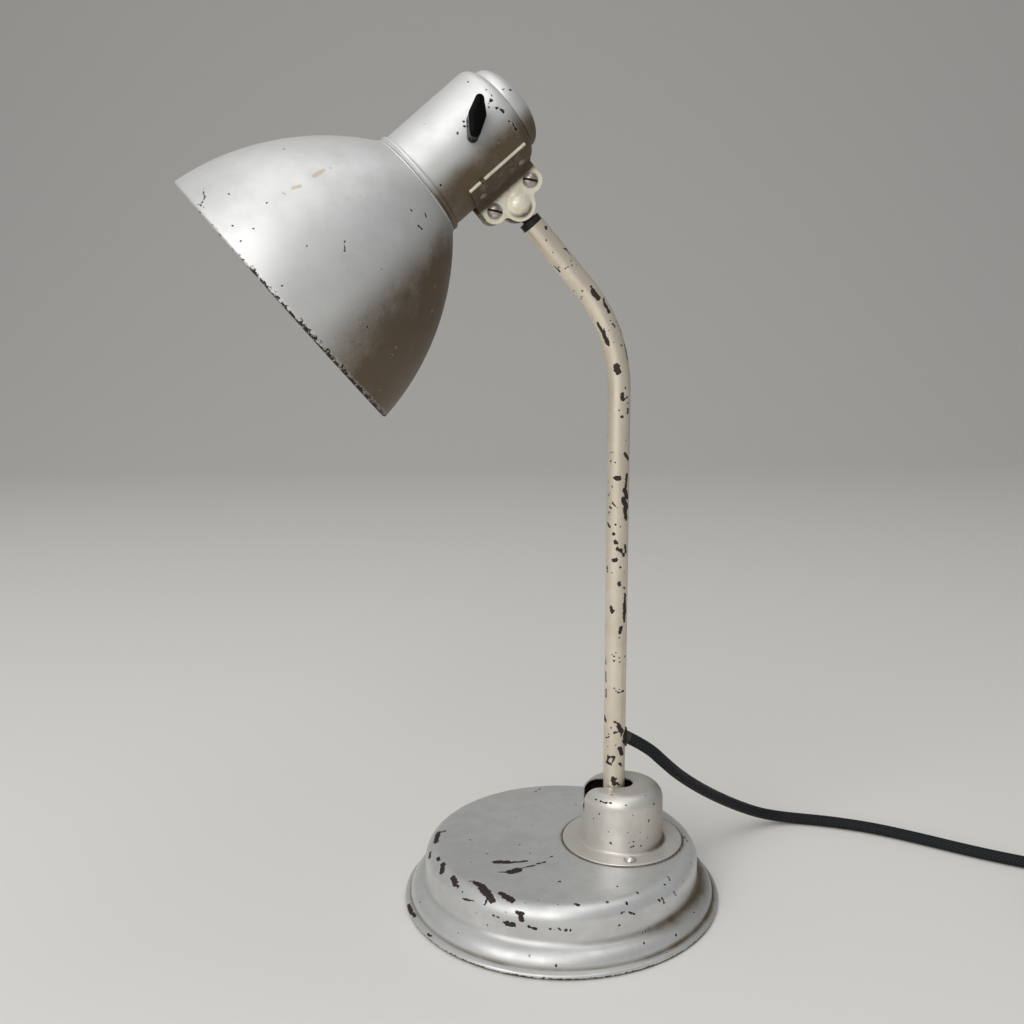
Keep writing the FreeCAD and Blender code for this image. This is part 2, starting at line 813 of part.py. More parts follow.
def make_plate(side):
    # flat lobed plate with a domed seat for the ball and a strap bent round the neck
    strap_in = neck_r + seat_gap
    strap_out = strap_in + plate_t
    root_x = math.sqrt(strap_in ** 2 - plate_gap_half ** 2)
    flat = moved(plate_outline(root_x).extrude(Vector(0, plate_t, 0)), 0, plate_gap_half, 0)
    flat = flat.cut(rod(strap_in, 0, neck_top_h + overrun))
    low = ball_along - plate_w / 2
    ring = pipe(strap_out, strap_in, low, low + plate_w)
    start_angle = math.degrees(math.asin(plate_gap_half / strap_in))
    sweep = strap_end_angle - start_angle
    sector = Part.makeCylinder(neck_r + overrun, plate_w, Vector(0, 0, low), Vector(0, 0, 1), sweep)
    sector.rotate(Vector(0, 0, 0), Vector(0, 0, 1), start_angle)
    strap = ring.common(sector)
    ball_spot = Vector(ball_out, 0, ball_along)
    bump = Part.makeSphere(ball_r + run_gap + plate_t, ball_spot)
    bump = bump.common(box(0, 2 * ball_out, plate_gap_half, 2 * ball_r + plate_outer, 0, neck_top_h))
    plate = flat.fuse(strap).fuse(bump).cut(Part.makeSphere(ball_r + run_gap, ball_spot))
    for height in clamp_screw_heights:
        hole = rod(clamp_screw_r + seat_gap, 0, plate_outer + overrun)
        plate = plate.cut(along_y(hole, clamp_screw_out, 0, height))
    for frame in strap_rivet_frames((1,)):
        plate = plate.cut(placed(rod(rivet_r + seat_gap, 0, neck_r + overrun), frame))
    if side < 0:
        plate = plate.mirror(Vector(0, 0, 0), Vector(0, 1, 0))
    return on_head(plate)


def make_bracket_rivets():
    strap_out = neck_r + seat_gap + plate_t
    inner = math.sqrt((neck_r - neck_t) ** 2 - rivet_head_r ** 2)
    rivets = []
    for frame in strap_rivet_frames():
        body = rod(rivet_r, inner - rivet_head_h, strap_out)
        body = body.fuse(dome(rivet_head_r, rivet_head_h, strap_out))
        body = body.fuse(rod(rivet_head_r, inner - rivet_head_h, inner))
        rivets.append(on_head(placed(body, frame)))
    return group(rivets)


def make_clamp_screws():
    slot_low = plate_outer + clamp_head_h - clamp_slot_d
    slot_half = clamp_slot_w / 2
    slot = box(-clamp_head_r, clamp_head_r, -slot_half, slot_half, slot_low, plate_outer + 2 * clamp_head_h)
    head = dome(clamp_head_r, clamp_head_h, plate_outer).cut(slot)
    screw = rod(clamp_screw_r, -plate_outer - clamp_nut_h - clamp_tail, plate_outer).fuse(head)
    turn = Rotation(Vector(1, 0, 0), 90)
    spots = [Placement(Vector(clamp_screw_out, 0, height), turn) for height in clamp_screw_heights]
    return group([on_head(placed(screw, spot)) for spot in spots])


def make_clamp_nuts():
    nut = hexagon(clamp_nut_r, 0, clamp_nut_h)
    nut = nut.cut(rod(clamp_screw_r + seat_gap, -overrun, clamp_nut_h + overrun))
    nuts = [along_y(nut, clamp_screw_out, plate_outer, height) for height in clamp_screw_heights]
    return group([on_head(nut) for nut in nuts])


def make_head_flex():
    # wire from the ball to the side of the switch
    start = ball_out - ball_r - run_gap - free_gap
    wire = rod(flex_r, switch_r + seat_gap, start)
    return on_head(placed(wire, Placement(Vector(0, 0, ball_along), Rotation(Vector(0, 1, 0), 90))))


# Lampholder and bulb
def make_lampholder_body():
    seat = shade_h
    body = spun((0, holder_low_h), (holder_r, holder_low_h), (holder_r, seat), (holder_shoulder_r, seat),
                (holder_shoulder_r, seat + holder_shoulder_h), (holder_r, seat + holder_shoulder_h),
                (holder_r, holder_top_h), (0, holder_top_h))
    return on_head(body.cut(rod(sleeve_r + seat_gap, holder_low_h - overrun, holder_roof_h)))


def make_shade_ring():
    low = shade_h - shade_t - ring_h
    ring = pipe(ring_r, holder_r + seat_gap, low, low + ring_h)
    for index in range(ring_groove_count):
        angle = math.radians(360 * index / ring_groove_count)
        groove = rod(ring_groove_r, low - overrun, low + ring_h / 2)
        ring = ring.cut(moved(groove, ring_r * math.cos(angle), ring_r * math.sin(angle), 0))
    return on_head(ring)


def make_socket_sleeve():
    return on_head(pipe(sleeve_r, sleeve_r - sleeve_t, sleeve_low_h, bulb_top_h))


def make_centre_contact():
    # bent tongue under the roof of the holder, touching the bulb's tip
    roof = holder_roof_h
    low = bulb_tip_top_h
    half = contact_r / 2
    tongue = box(-contact_r, contact_r, -half, half, roof - contact_t, roof)
    leg = box(-contact_r, contact_t - contact_r, -half, half, low, roof)
    pad = box(-contact_r, half, -half, half, low, low + contact_t)
    return on_head(tongue.fuse(leg).fuse(pad).removeSplitter())


def make_bulb_cap():
    cone_low = bulb_top_h - bulb_tip_h
    cap = rod(bulb_cap_r, sleeve_low_h, cone_low)
    cone = Part.makeCone(bulb_cap_r, bulb_tip_r, bulb_tip_h, Vector(0, 0, cone_low))
    return on_head(cap.fuse(cone).fuse(rod(bulb_tip_r, bulb_top_h, bulb_tip_top_h)))


def bulb_solid(inset):
    # ball end, a hollow waist and a straight neck in the holder
    radius = bulb_r - inset
    centre = bulb_tip_top_h - bulb_len + bulb_r
    neck = bulb_neck_r - inset
    leave_angle = math.radians(bulb_leave_angle)

    def on_ball(angle):
        return point(radius * math.cos(angle), centre + radius * math.sin(angle))

    leave = on_ball(leave_angle)
    neck_low = point(neck, holder_low_h - free_gap)
    neck_high = point(neck, sleeve_low_h)
    waist = point(neck + (leave.x - neck) * bulb_waist_share, (leave.z + neck_low.z) / 2)
    axis_low = point(0, centre - radius)
    axis_high = point(0, sleeve_low_h)
    edges = [
        Part.Arc(axis_low, on_ball(-eighth_turn), on_ball(0)).toShape(),
        Part.Arc(on_ball(0), on_ball(leave_angle / 2), leave).toShape(),
        Part.Arc(leave, waist, neck_low).toShape(),
        Part.LineSegment(neck_low, neck_high).toShape(),
        Part.LineSegment(neck_high, axis_high).toShape(),
        Part.LineSegment(axis_high, axis_low).toShape(),
    ]
    return Part.Face(Part.Wire(edges)).revolve(Vector(0, 0, 0), Vector(0, 0, 1), 360)


def make_bulb_glass():
    return on_head(bulb_solid(0).cut(bulb_solid(bulb_glass_t)))


# Switch and key
def make_switch_body():
    body = rod(switch_r, switch_low_h, switch_top_h)
    return on_head(body.cut(placed(rod(spindle_r + run_gap, spindle_depth, neck_r), switch_frame())))


def tangent_spots(centre_a, radius_a, centre_b, radius_b):
    # touching points of the straight tangent on the right of the way from a to b
    way = centre_b - centre_a
    gap = way.Length
    way.normalize()
    right = Vector(way.y, -way.x, 0)
    sink = (radius_a - radius_b) / gap
    normal = right * math.sqrt(1 - sink ** 2) + way * sink
    return centre_a + normal * radius_a, centre_b + normal * radius_b, normal


def make_switch_key():
    # spindle with a leaf-shaped thumb key: an outline round three circles
    spindle = rod(spindle_r, spindle_depth + slide_gap, key_stand + key_fillet)
    low = Vector(0, key_low_half_w - key_len_down, 0)
    tip = Vector(0, key_len_up - key_tip_r, 0)
    middle = Vector(0, 0, 0)
    low_spot, wide_low, low_normal = tangent_spots(low, key_low_half_w, middle, key_half_w)
    wide_high, tip_spot, high_normal = tangent_spots(middle, key_half_w, tip, key_tip_r)
    wide_way = (low_normal + high_normal).normalize()

    def flipped(spot):
        return Vector(-spot.x, spot.y, spot.z)

    edges = [
        Part.LineSegment(low_spot, wide_low).toShape(),
        Part.Arc(wide_low, wide_way * key_half_w, wide_high).toShape(),
        Part.LineSegment(wide_high, tip_spot).toShape(),
        Part.Arc(tip_spot, Vector(0, key_len_up, 0), flipped(tip_spot)).toShape(),
        Part.LineSegment(flipped(tip_spot), flipped(wide_high)).toShape(),
        Part.Arc(flipped(wide_high), flipped(wide_way * key_half_w), flipped(wide_low)).toShape(),
        Part.LineSegment(flipped(wide_low), flipped(low_spot)).toShape(),
        Part.Arc(flipped(low_spot), Vector(0, -key_len_down, 0), low_spot).toShape(),
    ]
    leaf = Part.Face(Part.Wire(edges)).extrude(Vector(0, 0, key_deep))
    top_edges = [edge for edge in leaf.Edges if edge.BoundBox.ZMin > key_deep / 2]
    leaf = leaf.makeFillet(key_fillet, top_edges)
    key = spindle.fuse(moved(leaf, 0, 0, key_stand))
    spin = Placement(Vector(0, 0, 0), Rotation(Vector(0, 0, 1), key_angle))
    return on_head(placed(placed(key, spin), switch_frame()))


# Cord: from the outlet through the air to the table, then to the coil and the plug
def world_of(local):
    return arm_frame.multVec(local)


def cord_exit():
    frame, out, seat = outlet_frame()
    return world_of(seat + out * outlet_proud)


def free_route():
    frame, out, seat = outlet_frame()
    lead = world_of(seat + out * (outlet_proud + outlet_lead))
    return [cord_exit(), lead] + [Vector(*spot) for spot in drop_points + run_points]


def coil_start():
    last = Vector(*run_points[-1])
    return last, (last - Vector(*run_points[-2])).normalize()


def coil_point(turns):
    # place of the coil at a count of turns: in on the table, a climb, and out on top
    start, way = coil_start()
    side = Vector(way.y, -way.x, 0)
    centre = start + side * coil_r_out
    angle = math.atan2(-side.y, -side.x) - 2 * math.pi * turns
    radius = coil_r_out - coil_pitch * min(turns, coil_turns - turns)
    climb_start = (coil_turns - coil_climb_turns) / 2
    climbed = min(1, max(0, (turns - climb_start) / coil_climb_turns))
    height = table_z + coil_layer * (1 - math.cos(math.pi * climbed)) / 2
    return Vector(centre.x + radius * math.cos(angle), centre.y + radius * math.sin(angle), height)


def coil_way(turns):
    step = coil_way_step
    low = max(0, turns - step)
    high = min(coil_turns, turns + step)
    return (coil_point(high) - coil_point(low)).normalize()


def biarc(start, start_way, end, end_way):
    # two tangent arcs from start to end with equal tangent lengths
    across = end - start
    ways = start_way + end_way
    square = 2 * (1 - start_way.dot(end_way))
    linear = across.dot(ways)
    reach = (-linear + math.sqrt(linear ** 2 + square * across.dot(across))) / square
    knee_a = start + start_way * reach
    knee_b = end - end_way * reach
    joint = (knee_a + knee_b) * 0.5

    def arc(first, knee, last):
        chord_mid = (first + last) * 0.5
        inward = (chord_mid - knee)
        half = (last - first).Length / 2
        depth = inward.Length
        radius = half * math.sqrt(half ** 2 + depth ** 2) / depth
        sag = radius - math.sqrt(radius ** 2 - half ** 2)
        return Part.Arc(first, chord_mid - inward.normalize() * sag, last).toShape()

    return [arc(start, knee_a, joint), arc(joint, knee_b, end)]


def coil_edges():
    count = int(coil_turns * coil_steps_per_turn)
    stops = [index / coil_steps_per_turn for index in range(count + 1)]
    end = coil_point(coil_turns)
    ways = [coil_way(stop) for stop in stops]
    ways[0] = coil_start()[1]
    ways[-1] = coil_start()[1]
    edges = []
    for index in range(count):
        edges += biarc(coil_point(stops[index]), ways[index], coil_point(stops[index + 1]), ways[index + 1])
    tail = end + ways[-1] * 2 * cord_r
    edges.append(Part.LineSegment(end, tail).toShape())
    print_self_gap(Part.Wire(edges))
    return edges, tail, ways[-1]


def print_self_gap(wire):
    # least gap of the tube to itself, measured on points over half a turn apart
    spots = wire.discretize(Distance=coil_pitch / 2)
    step = wire.Length / (len(spots) - 1)
    apart = int(math.pi * (coil_r_out - coil_pitch * coil_turns / 2) / step)
    least = min((spots[i] - spots[j]).Length for i in range(len(spots)) for j in range(i + apart, len(spots)))
    print("coil least self gap %.2f" % (least - 2 * cord_r))


def tail_route(start, way):
    # leaves the coil, comes down beside it to the plug's height and turns to the plug
    points = [start]
    heading = math.atan2(way.y, way.x)
    heights = (start.z, (start.z + plug_axis_z) / 2, plug_axis_z, plug_axis_z, plug_axis_z)
    for share, height in zip(tail_turn_shares, heights):
        heading += math.radians(tail_turn) * share
        x = points[-1].x + tail_run * math.cos(heading)
        y = points[-1].y + tail_run * math.sin(heading)
        points.append(Vector(x, y, height))
    return points


plug_axis_z = plug_t / 2 + cord_lift


def make_plug(end, way):
    frame = Placement(end, Rotation(Vector(0, 0, 1), way))
    flat_x = frame.Rotation.inverted().multVec(Vector(0, 0, 1))
    spin = math.degrees(math.atan2(flat_x.y, flat_x.x))
    frame = frame.multiply(Placement(Vector(0, 0, 0), Rotation(Vector(0, 0, 1), spin - 90)))
    sleeve = Part.makeCone(sleeve_end_r, sleeve_root_r, sleeve_len)
    sleeve = sleeve.cut(rod(cord_r + seat_gap, 0, sleeve_len * sleeve_bore_share))
    half = plug_w / 2
    nose = plug_nose_w / 2
    root = sleeve_root_r
    low = sleeve_len
    mid = low + plug_len * plug_shoulder_share
    high = low + plug_len
    corners = [(-root, low), (root, low), (half, mid), (half, high - plug_slope), (nose, high), (-nose, high),
               (-half, high - plug_slope), (-half, mid), (-root, low)]
    face = Part.Face(Part.makePolygon([Vector(x, -plug_t / 2, z) for x, z in corners]))
    body = face.extrude(Vector(0, plug_t, 0))
    rims = [edge for edge in body.Edges if edge.BoundBox.YLength < plug_t / 2]
    body = body.makeChamfer(plug_chamfer, rims)
    pin = rod(pin_r, pin_len - pin_bare_len, pin_len - pin_tip_h)
    pin = pin.fuse(dome(pin_r, pin_tip_h, pin_len - pin_tip_h))
    pin = pin.fuse(rod(pin_sleeve_r, 0, pin_len - pin_bare_len))
    pins = group([moved(pin, side * pin_pitch / 2, 0, high) for side in (-1, 1)])
    return placed(sleeve, frame), placed(body, frame), placed(pins, frame)


def tell(name, vector):
    print(name, [round(value, 4) for value in vector])


save("base_shell", make_base_shell())
save("base_weight", make_base_weight())
save("bottom_cover", make_bottom_cover())
save("felt_pad", make_felt_pad())
save("hub_cover", make_hub_cover())
save("hub_screws", make_hub_screws())
save("pivot_bracket", make_pivot_bracket())
save("base_bolt", make_base_bolt())
save("base_nut", make_base_nut())
save("pivot_bolt", make_pivot_bolt())
save("pivot_nut", make_pivot_nut())
save("friction_washers", make_friction_washers())
save("arm_tube", make_arm_tube())
save("arm_foot", make_arm_foot())
save("cord_eyelet", make_cord_eyelet())
save("inner_flex", make_inner_flex())
save("tube_ferrule", make_tube_ferrule())
save("ball_stem", make_ball_stem())
save("stem_nut", make_stem_nut())
save("front_plate", make_plate(-1))
save("rear_plate", make_plate(1))
save("clamp_screws", make_clamp_screws())
save("clamp_nuts", make_clamp_nuts())
save("bracket_rivets", make_bracket_rivets())
save("head_flex", make_head_flex())
save("neck_cover", make_neck_cover())
save("end_cap", make_end_cap())
save("shade", make_shade())
save("shade_ring", make_shade_ring())
save("lampholder_body", make_lampholder_body())
save("socket_sleeve", make_socket_sleeve())
save("centre_contact", make_centre_contact())
save("bulb_cap", make_bulb_cap())
save("bulb_glass", make_bulb_glass())
save("switch_body", make_switch_body())
save("switch_key", make_switch_key())

free_edges = cord_edges(free_route(), "cord before the coil")
drop_edge_count = 2 * (len(drop_points) + 1)
wound_edges, coil_end, coil_end_way = coil_edges()
tail_points = tail_route(coil_end, coil_end_way)
tail_edges = cord_edges(tail_points, "cord after the coil")
cord_length = 0
for name, edges in (("cord_drop", free_edges[:drop_edge_count]), ("cord_run", free_edges[drop_edge_count:]),
                    ("cord_coil", wound_edges), ("cord_tail", tail_edges)):
    tube, length = cord_tube(edges, name)
    save(name, tube)
    cord_length += length
print("cord length in all %.1f" % cord_length)
plug_way = (tail_points[-1] - tail_points[-2]).normalize()
plug_sleeve, plug_body, plug_pins = make_plug(tail_points[-1], plug_way)
save("plug_sleeve", plug_sleeve)
save("plug_body", plug_body)
save("plug_pins", plug_pins)

tell("ball", world_of(ball_point))
tell("arm hinge", Vector(arm_x, 0, pivot_h))
tell("stem axis", arm_frame.Rotation.multVec(upper_way))
tell("tilt axis", arm_frame.Rotation.multVec(Vector(0, 1, 0)))
key_frame = head_frame.multiply(switch_frame())
tell("key axis", key_frame.Rotation.multVec(Vector(0, 0, 1)))
tell("key point", key_frame.multVec(Vector(0, 0, neck_r)))
tell("head axis", head_frame.Rotation.multVec(Vector(0, 0, 1)))
tell("mouth", head_frame.multVec(Vector(0, 0, 0)))
tell("cord exit", cord_exit())
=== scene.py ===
import math

import bmesh
import bpy
import numpy as np
from mathutils import Matrix, Vector
from mathutils.bvhtree import BVHTree
from mathutils.geometry import delaunay_2d_cdt


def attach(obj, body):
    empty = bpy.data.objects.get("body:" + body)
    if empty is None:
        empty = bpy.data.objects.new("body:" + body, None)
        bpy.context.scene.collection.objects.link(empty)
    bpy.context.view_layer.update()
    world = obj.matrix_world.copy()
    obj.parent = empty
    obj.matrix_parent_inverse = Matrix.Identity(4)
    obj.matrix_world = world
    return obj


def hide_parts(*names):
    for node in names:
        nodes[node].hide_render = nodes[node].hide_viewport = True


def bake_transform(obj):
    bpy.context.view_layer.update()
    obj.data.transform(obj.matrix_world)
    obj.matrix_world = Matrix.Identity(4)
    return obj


# A worn silver desk lamp: spun shade, bent tube arm, slotted hub, beaded foot, braided cord.
# Sizes are in millimetres and turned into metres where a mesh is made.

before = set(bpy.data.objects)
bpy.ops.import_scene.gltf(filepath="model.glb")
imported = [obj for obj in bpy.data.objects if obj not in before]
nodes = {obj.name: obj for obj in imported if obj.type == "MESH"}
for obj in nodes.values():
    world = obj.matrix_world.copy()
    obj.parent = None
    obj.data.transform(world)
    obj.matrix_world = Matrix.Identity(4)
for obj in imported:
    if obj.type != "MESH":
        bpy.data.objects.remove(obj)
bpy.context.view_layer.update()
mm = 0.001
print("frame loaded:", len(nodes), "nodes")


def added(name, data):
    # a new object in the scene
    thing = bpy.data.objects.new(name, data)
    bpy.context.scene.collection.objects.link(thing)
    return thing


# Camera: where it stands, how far it looks down and leans in degrees, its lens and sensor width,
# and how many pixels wide and high the photograph is
camera = {"place": (-24.4, -557.6, 314.5), "down": 10.49, "lean": -0.68, "lens": 38.67, "sensor": 36.0,
          "pixels": 1024}

down = math.radians(camera["down"])
lean = math.radians(camera["lean"])
ahead = Vector((0, math.cos(down), -math.sin(down)))
levelRight = Vector((1, 0, 0))
levelUp = levelRight.cross(ahead)
cameraRight = levelRight * math.cos(lean) + levelUp * math.sin(lean)
cameraUp = levelUp * math.cos(lean) - levelRight * math.sin(lean)
cameraData = bpy.data.cameras.new("camera")
cameraData.lens = camera["lens"]
cameraData.sensor_width = camera["sensor"]
cameraObject = added("camera", cameraData)
turn = Matrix((cameraRight, cameraUp, -ahead)).transposed().to_4x4()
cameraObject.matrix_world = Matrix.Translation(Vector(camera["place"]) * mm) @ turn
bpy.context.scene.camera = cameraObject
bpy.context.scene.view_settings.view_transform = "Standard"


def meshOf(name, bm):
    # the mesh that a bmesh holds, which is then freed
    mesh = bpy.data.meshes.new(name)
    bm.to_mesh(mesh)
    bm.free()
    return mesh


# Outlines: a pair is a line to a point, two pairs are an arc through the first to the second
def outline(start, steps, spacing=1.2):
    points = [np.array(start, float)]
    for step in steps:
        here = points[-1]
        if isinstance(step[0], tuple):
            through, end = np.array(step[0], float), np.array(step[1], float)
            points += arcPoints(here, through, end, spacing)
        else:
            end = np.array(step, float)
            count = max(1, int(np.linalg.norm(end - here) / spacing))
            points += [here + (end - here) * (i + 1) / count for i in range(count)]
    return np.array(points)


def arcPoints(start, through, end, spacing):
    left = np.array([through - start, end - start]) * 2
    right = np.array([through @ through - start @ start, end @ end - start @ start])
    centre = np.linalg.solve(left, right)
    radius = np.linalg.norm(start - centre)
    first, middle, last = (math.atan2(*(p - centre)[::-1]) for p in (start, through, end))
    sweep = (last - first) % math.tau
    if (middle - first) % math.tau > sweep:
        sweep -= math.tau
    count = max(6, int(abs(sweep) * radius / spacing))
    angles = first + sweep * (np.arange(count) + 1) / count
    return [centre + radius * np.array([math.cos(a), math.sin(a)]) for a in angles]


def arcRow(x, y, wide, high, start, end, count):
    # points round a centre, between two angles in degrees
    angles = np.radians(np.linspace(start, end, count))
    return np.stack([x + wide * np.cos(angles), y + high * np.sin(angles)], 1)


def shoulder(radius, top, rounding):
    # the arc from an upright wall to a level top: a point on its way, and its end
    lift = rounding * math.sin(math.radians(45))
    return (radius - rounding + lift, top - rounding + lift), (radius - rounding, top)


def inset(points, thickness):
    # the inner face of a sheet: each point moves to the right of the way along the outline
    ways = np.gradient(points, axis=0)
    ways /= np.linalg.norm(ways, axis=1)[:, None]
    rights = np.stack([ways[:, 1], -ways[:, 0]], 1)
    moved = points + rights * thickness
    moved[:, 0] = np.maximum(moved[:, 0], 0)
    return moved


def spun(name, section, place, segments):
    # closed section of (radius, height) turned about Z, then put in place
    bm = bmesh.new()
    rings = []
    for radius, height in section:
        if radius < 1e-4:
            rings.append([bm.verts.new((0, 0, height))] * segments)
        else:
            angles = [math.tau * i / segments for i in range(segments)]
            rings.append([bm.verts.new((radius * math.cos(a), radius * math.sin(a), height)) for a in angles])
    for low, high in zip(rings, rings[1:] + rings[:1]):
        for i in range(segments):
            j = (i + 1) % segments
            corners = [low[i], low[j], high[j], high[i]]
            kept = [v for n, v in enumerate(corners) if v not in corners[:n]]
            if len(kept) > 2:
                bm.faces.new(kept)
    return finished(name, bm, place)


def finished(name, bm, place, sharp=35):
    # merges doubles, points the faces outwards, and puts the piece in the shared frame in metres
    bmesh.ops.remove_doubles(bm, verts=bm.verts, dist=1e-5)
    bmesh.ops.recalc_face_normals(bm, faces=bm.faces)
    piece = added(name, meshOf(name, bm))
    piece.data.transform(Matrix.Scale(mm, 4) @ place)
    smooth(piece, sharp)
    return piece


def smooth(piece, sharp=35):
    piece.data.shade_smooth()
    piece.data.set_sharp_from_angle(angle=math.radians(sharp))


def applied(piece, sharp=35):
    # turns the modifiers' result into a plain mesh
    graph = bpy.context.evaluated_depsgraph_get()
    mesh = bpy.data.meshes.new_from_object(piece.evaluated_get(graph), depsgraph=graph)
    piece.modifiers.clear()
    mesh.name = piece.name
    piece.data = mesh
    smooth(piece, sharp)
    return piece


def cutBy(piece, cutter, sharp=35):
    # takes a cutter's shape out of a piece, and removes the cutter
    cut = piece.modifiers.new("cut", "BOOLEAN")
    cut.operation = "DIFFERENCE"
    cut.solver = "EXACT"
    cut.object = cutter
    applied(piece, sharp)
    bpy.data.objects.remove(cutter)
    return piece


def wallBetween(bm, lower, upper):
    # faces from one ring of vertices to the next
    count = len(lower)
    for i in range(count):
        j = (i + 1) % count
        bm.faces.new((lower[i], lower[j], upper[j], upper[i]))


def prism(name, corners, low, high, place):
    # upright prism over a list of (x, y) corners
    bm = bmesh.new()
    bottom = [bm.verts.new((x, y, low)) for x, y in corners]
    top = [bm.verts.new((x, y, high)) for x, y in corners]
    bm.faces.new(bottom[::-1])
    bm.faces.new(top)
    wallBetween(bm, bottom, top)
    return finished(name, bm, place)


def localPoints(piece, place):
    # a piece's vertices in its own frame, in millimetres
    points = np.zeros(len(piece.data.vertices) * 3, np.float32)
    piece.data.vertices.foreach_get("co", points)
    points = points.reshape(-1, 3).astype(float) / mm
    back = np.array(place.inverted())
    return points @ back[:3, :3].T + back[:3, 3]


def facesOut(piece, place):
    # which vertices look away from the axis of a place
    normals = np.empty(3 * len(piece.data.vertices), np.float32)
    piece.data.vertices.foreach_get("normal", normals)
    turned = normals.reshape(-1, 3) @ np.array(place.inverted())[:3, :3].T
    return (turned[:, :2] * localPoints(piece, place)[:, :2]).sum(axis=1) > 0


def storeField(piece, name, values):
    field = piece.data.attributes.new(name, "FLOAT", "POINT")
    field.data.foreach_set("value", np.asarray(values, np.float32))


# Places: the hinge of the arm, the arm's own frame, and the head's frame along the shade's axis
arm = {"hinge": (28.7, 0, 42.5), "turned": 10.4, "leaning": 0.45, "cornerHeight": 302.6, "bend": 41.0,
       "bendRadius": 78.0, "upperReach": 79.5, "endGap": 11.9, "radius": 5.75, "wall": 1.0, "foot": 9.5,
       "bendSteps": 48, "step": 0.9, "sides": 72}
head = {"rise": 40.35, "ballAlong": 115.7, "ballOut": 37.75}

armFrame = (Matrix.Translation(Vector(arm["hinge"])) @ Matrix.Rotation(math.radians(arm["turned"]), 4, "Z")
            @ Matrix.Rotation(math.radians(arm["leaning"]), 4, "Y"))
armCorner = Vector((0, 0, arm["cornerHeight"] - arm["hinge"][2]))
upperAngle = math.radians(90 - arm["bend"])
upperWay = Vector((-math.cos(upperAngle), 0, math.sin(upperAngle)))
ballPoint = armCorner + upperWay * arm["upperReach"]
headTurn = Matrix.Rotation(math.radians(90 - head["rise"]), 4, "Y")
headOrigin = ballPoint - headTurn @ Vector((head["ballOut"], 0, head["ballAlong"]))
headFrame = armFrame @ Matrix.Translation(headOrigin) @ headTurn
world = Matrix.Identity(4)


# Cord: its route is the same list of points as in the part's source
cord = {"radius": 3.25, "lift": 0.05, "length": 1.8, "outletHeight": 88.2, "droop": 30.0, "proud": 2.4,
        "lead": 13.0, "coilRadius": 46.7, "pitch": 7.0, "layer": 6.95, "turns": 6.0, "climb": 0.5,
        "perTurn": 16, "easeSteps": 3, "tailTurn": 9.0, "tailBends": (0, -1, -2, -2, -2), "tailRun": 17.0,
        "plugThick": 13.7, "sides": 20, "smoothness": 6}
tableZ = cord["radius"] + cord["lift"]
cordPoints = [
    (57.2, 8.6, 69.4),
    (69.0, 22.0, 54.8),
    (88.0, 42.5, 35.6),
    (108.0, 60.0, 19.4),
    (126.0, 71.5, 8.2),
    (144.5, 75.5, tableZ),
    (166.0, 70.5, tableZ),
    (190.3, 61.3, tableZ),
    (212.4, 48.2, tableZ),
    (233.1, 34.3, tableZ),
    (250.4, 23.8, tableZ),
    (269.0, 14.1, tableZ),
    (290.5, 5.3, tableZ),
    (312.2, -1.7, tableZ),
]


def cordRoute():
    droop = math.radians(cord["droop"])
    out = Vector((math.cos(droop), 0, -math.sin(droop)))
    seat = Vector((arm["radius"], 0, cord["outletHeight"] - arm["hinge"][2]))
    leave = armFrame @ (seat + out * cord["proud"])
    lead = armFrame @ (seat + out * (cord["proud"] + cord["lead"]))
    route = [leave, lead] + [Vector(p) for p in cordPoints]
    return route, leave


def coilRoute(start, way):
    # loops run in on the table, climb a layer and run out on top
    side = Vector((way.y, -way.x, 0))
    centre = start + side * cord["coilRadius"]
    first = math.atan2(-side.y, -side.x)
    swell = 1 / math.cos(math.pi / cord["perTurn"])
    route = []
    count = int(cord["turns"] * cord["perTurn"])
    for i in range(1, count + 1):
        turns = i / cord["perTurn"]
        angle = first - math.tau * turns
        ease = min(1.0, i / cord["easeSteps"], (count - i) / cord["easeSteps"])
        radius = cord["coilRadius"] - cord["pitch"] * min(turns, cord["turns"] - turns)
        radius *= 1 + (swell - 1) * ease
        climbed = min(1, max(0, (turns - cord["turns"] / 2) / cord["climb"] + 0.5))
        height = tableZ + cord["layer"] * (1 - math.cos(math.pi * climbed)) / 2
        x, y = centre.x + radius * math.cos(angle), centre.y + radius * math.sin(angle)
        route.append(Vector((x, y, height)))
    return route


def tailRoute(start, way):
    # leaves the coil, comes down beside it to the plug's height and turns to the plug
    heading = math.atan2(way.y, way.x)
    plugHeight = cord["plugThick"] / 2 + cord["lift"]
    heights = (start.z, (start.z + plugHeight) / 2, plugHeight, plugHeight, plugHeight)
    route = [start]
    for share, height in zip(cord["tailBends"], heights):
        heading += math.radians(cord["tailTurn"]) * share
        step = Vector((math.cos(heading), math.sin(heading), 0)) * cord["tailRun"]
        route.append(Vector((route[-1].x + step.x, route[-1].y + step.y, height)))
    return route


def splineLine(points):
    # the smooth line of a spline with these control points
    curve = bpy.data.curves.new("cordLine", "CURVE")
    curve.dimensions = "3D"
    curve.resolution_u = cord["smoothness"]
    spline = curve.splines.new("NURBS")
    spline.points.add(len(points) - 1)
    for knot, place in zip(spline.points, points):
        knot.co = (*(place * mm), 1)
    spline.order_u = 3
    spline.use_endpoint_u = True
    holder = added("cordLine", curve)
    graph = bpy.context.evaluated_depsgraph_get()
    line = bpy.data.meshes.new_from_object(holder.evaluated_get(graph), depsgraph=graph)
    places = np.array([v.co for v in line.vertices])
    bpy.data.objects.remove(holder)
    return places


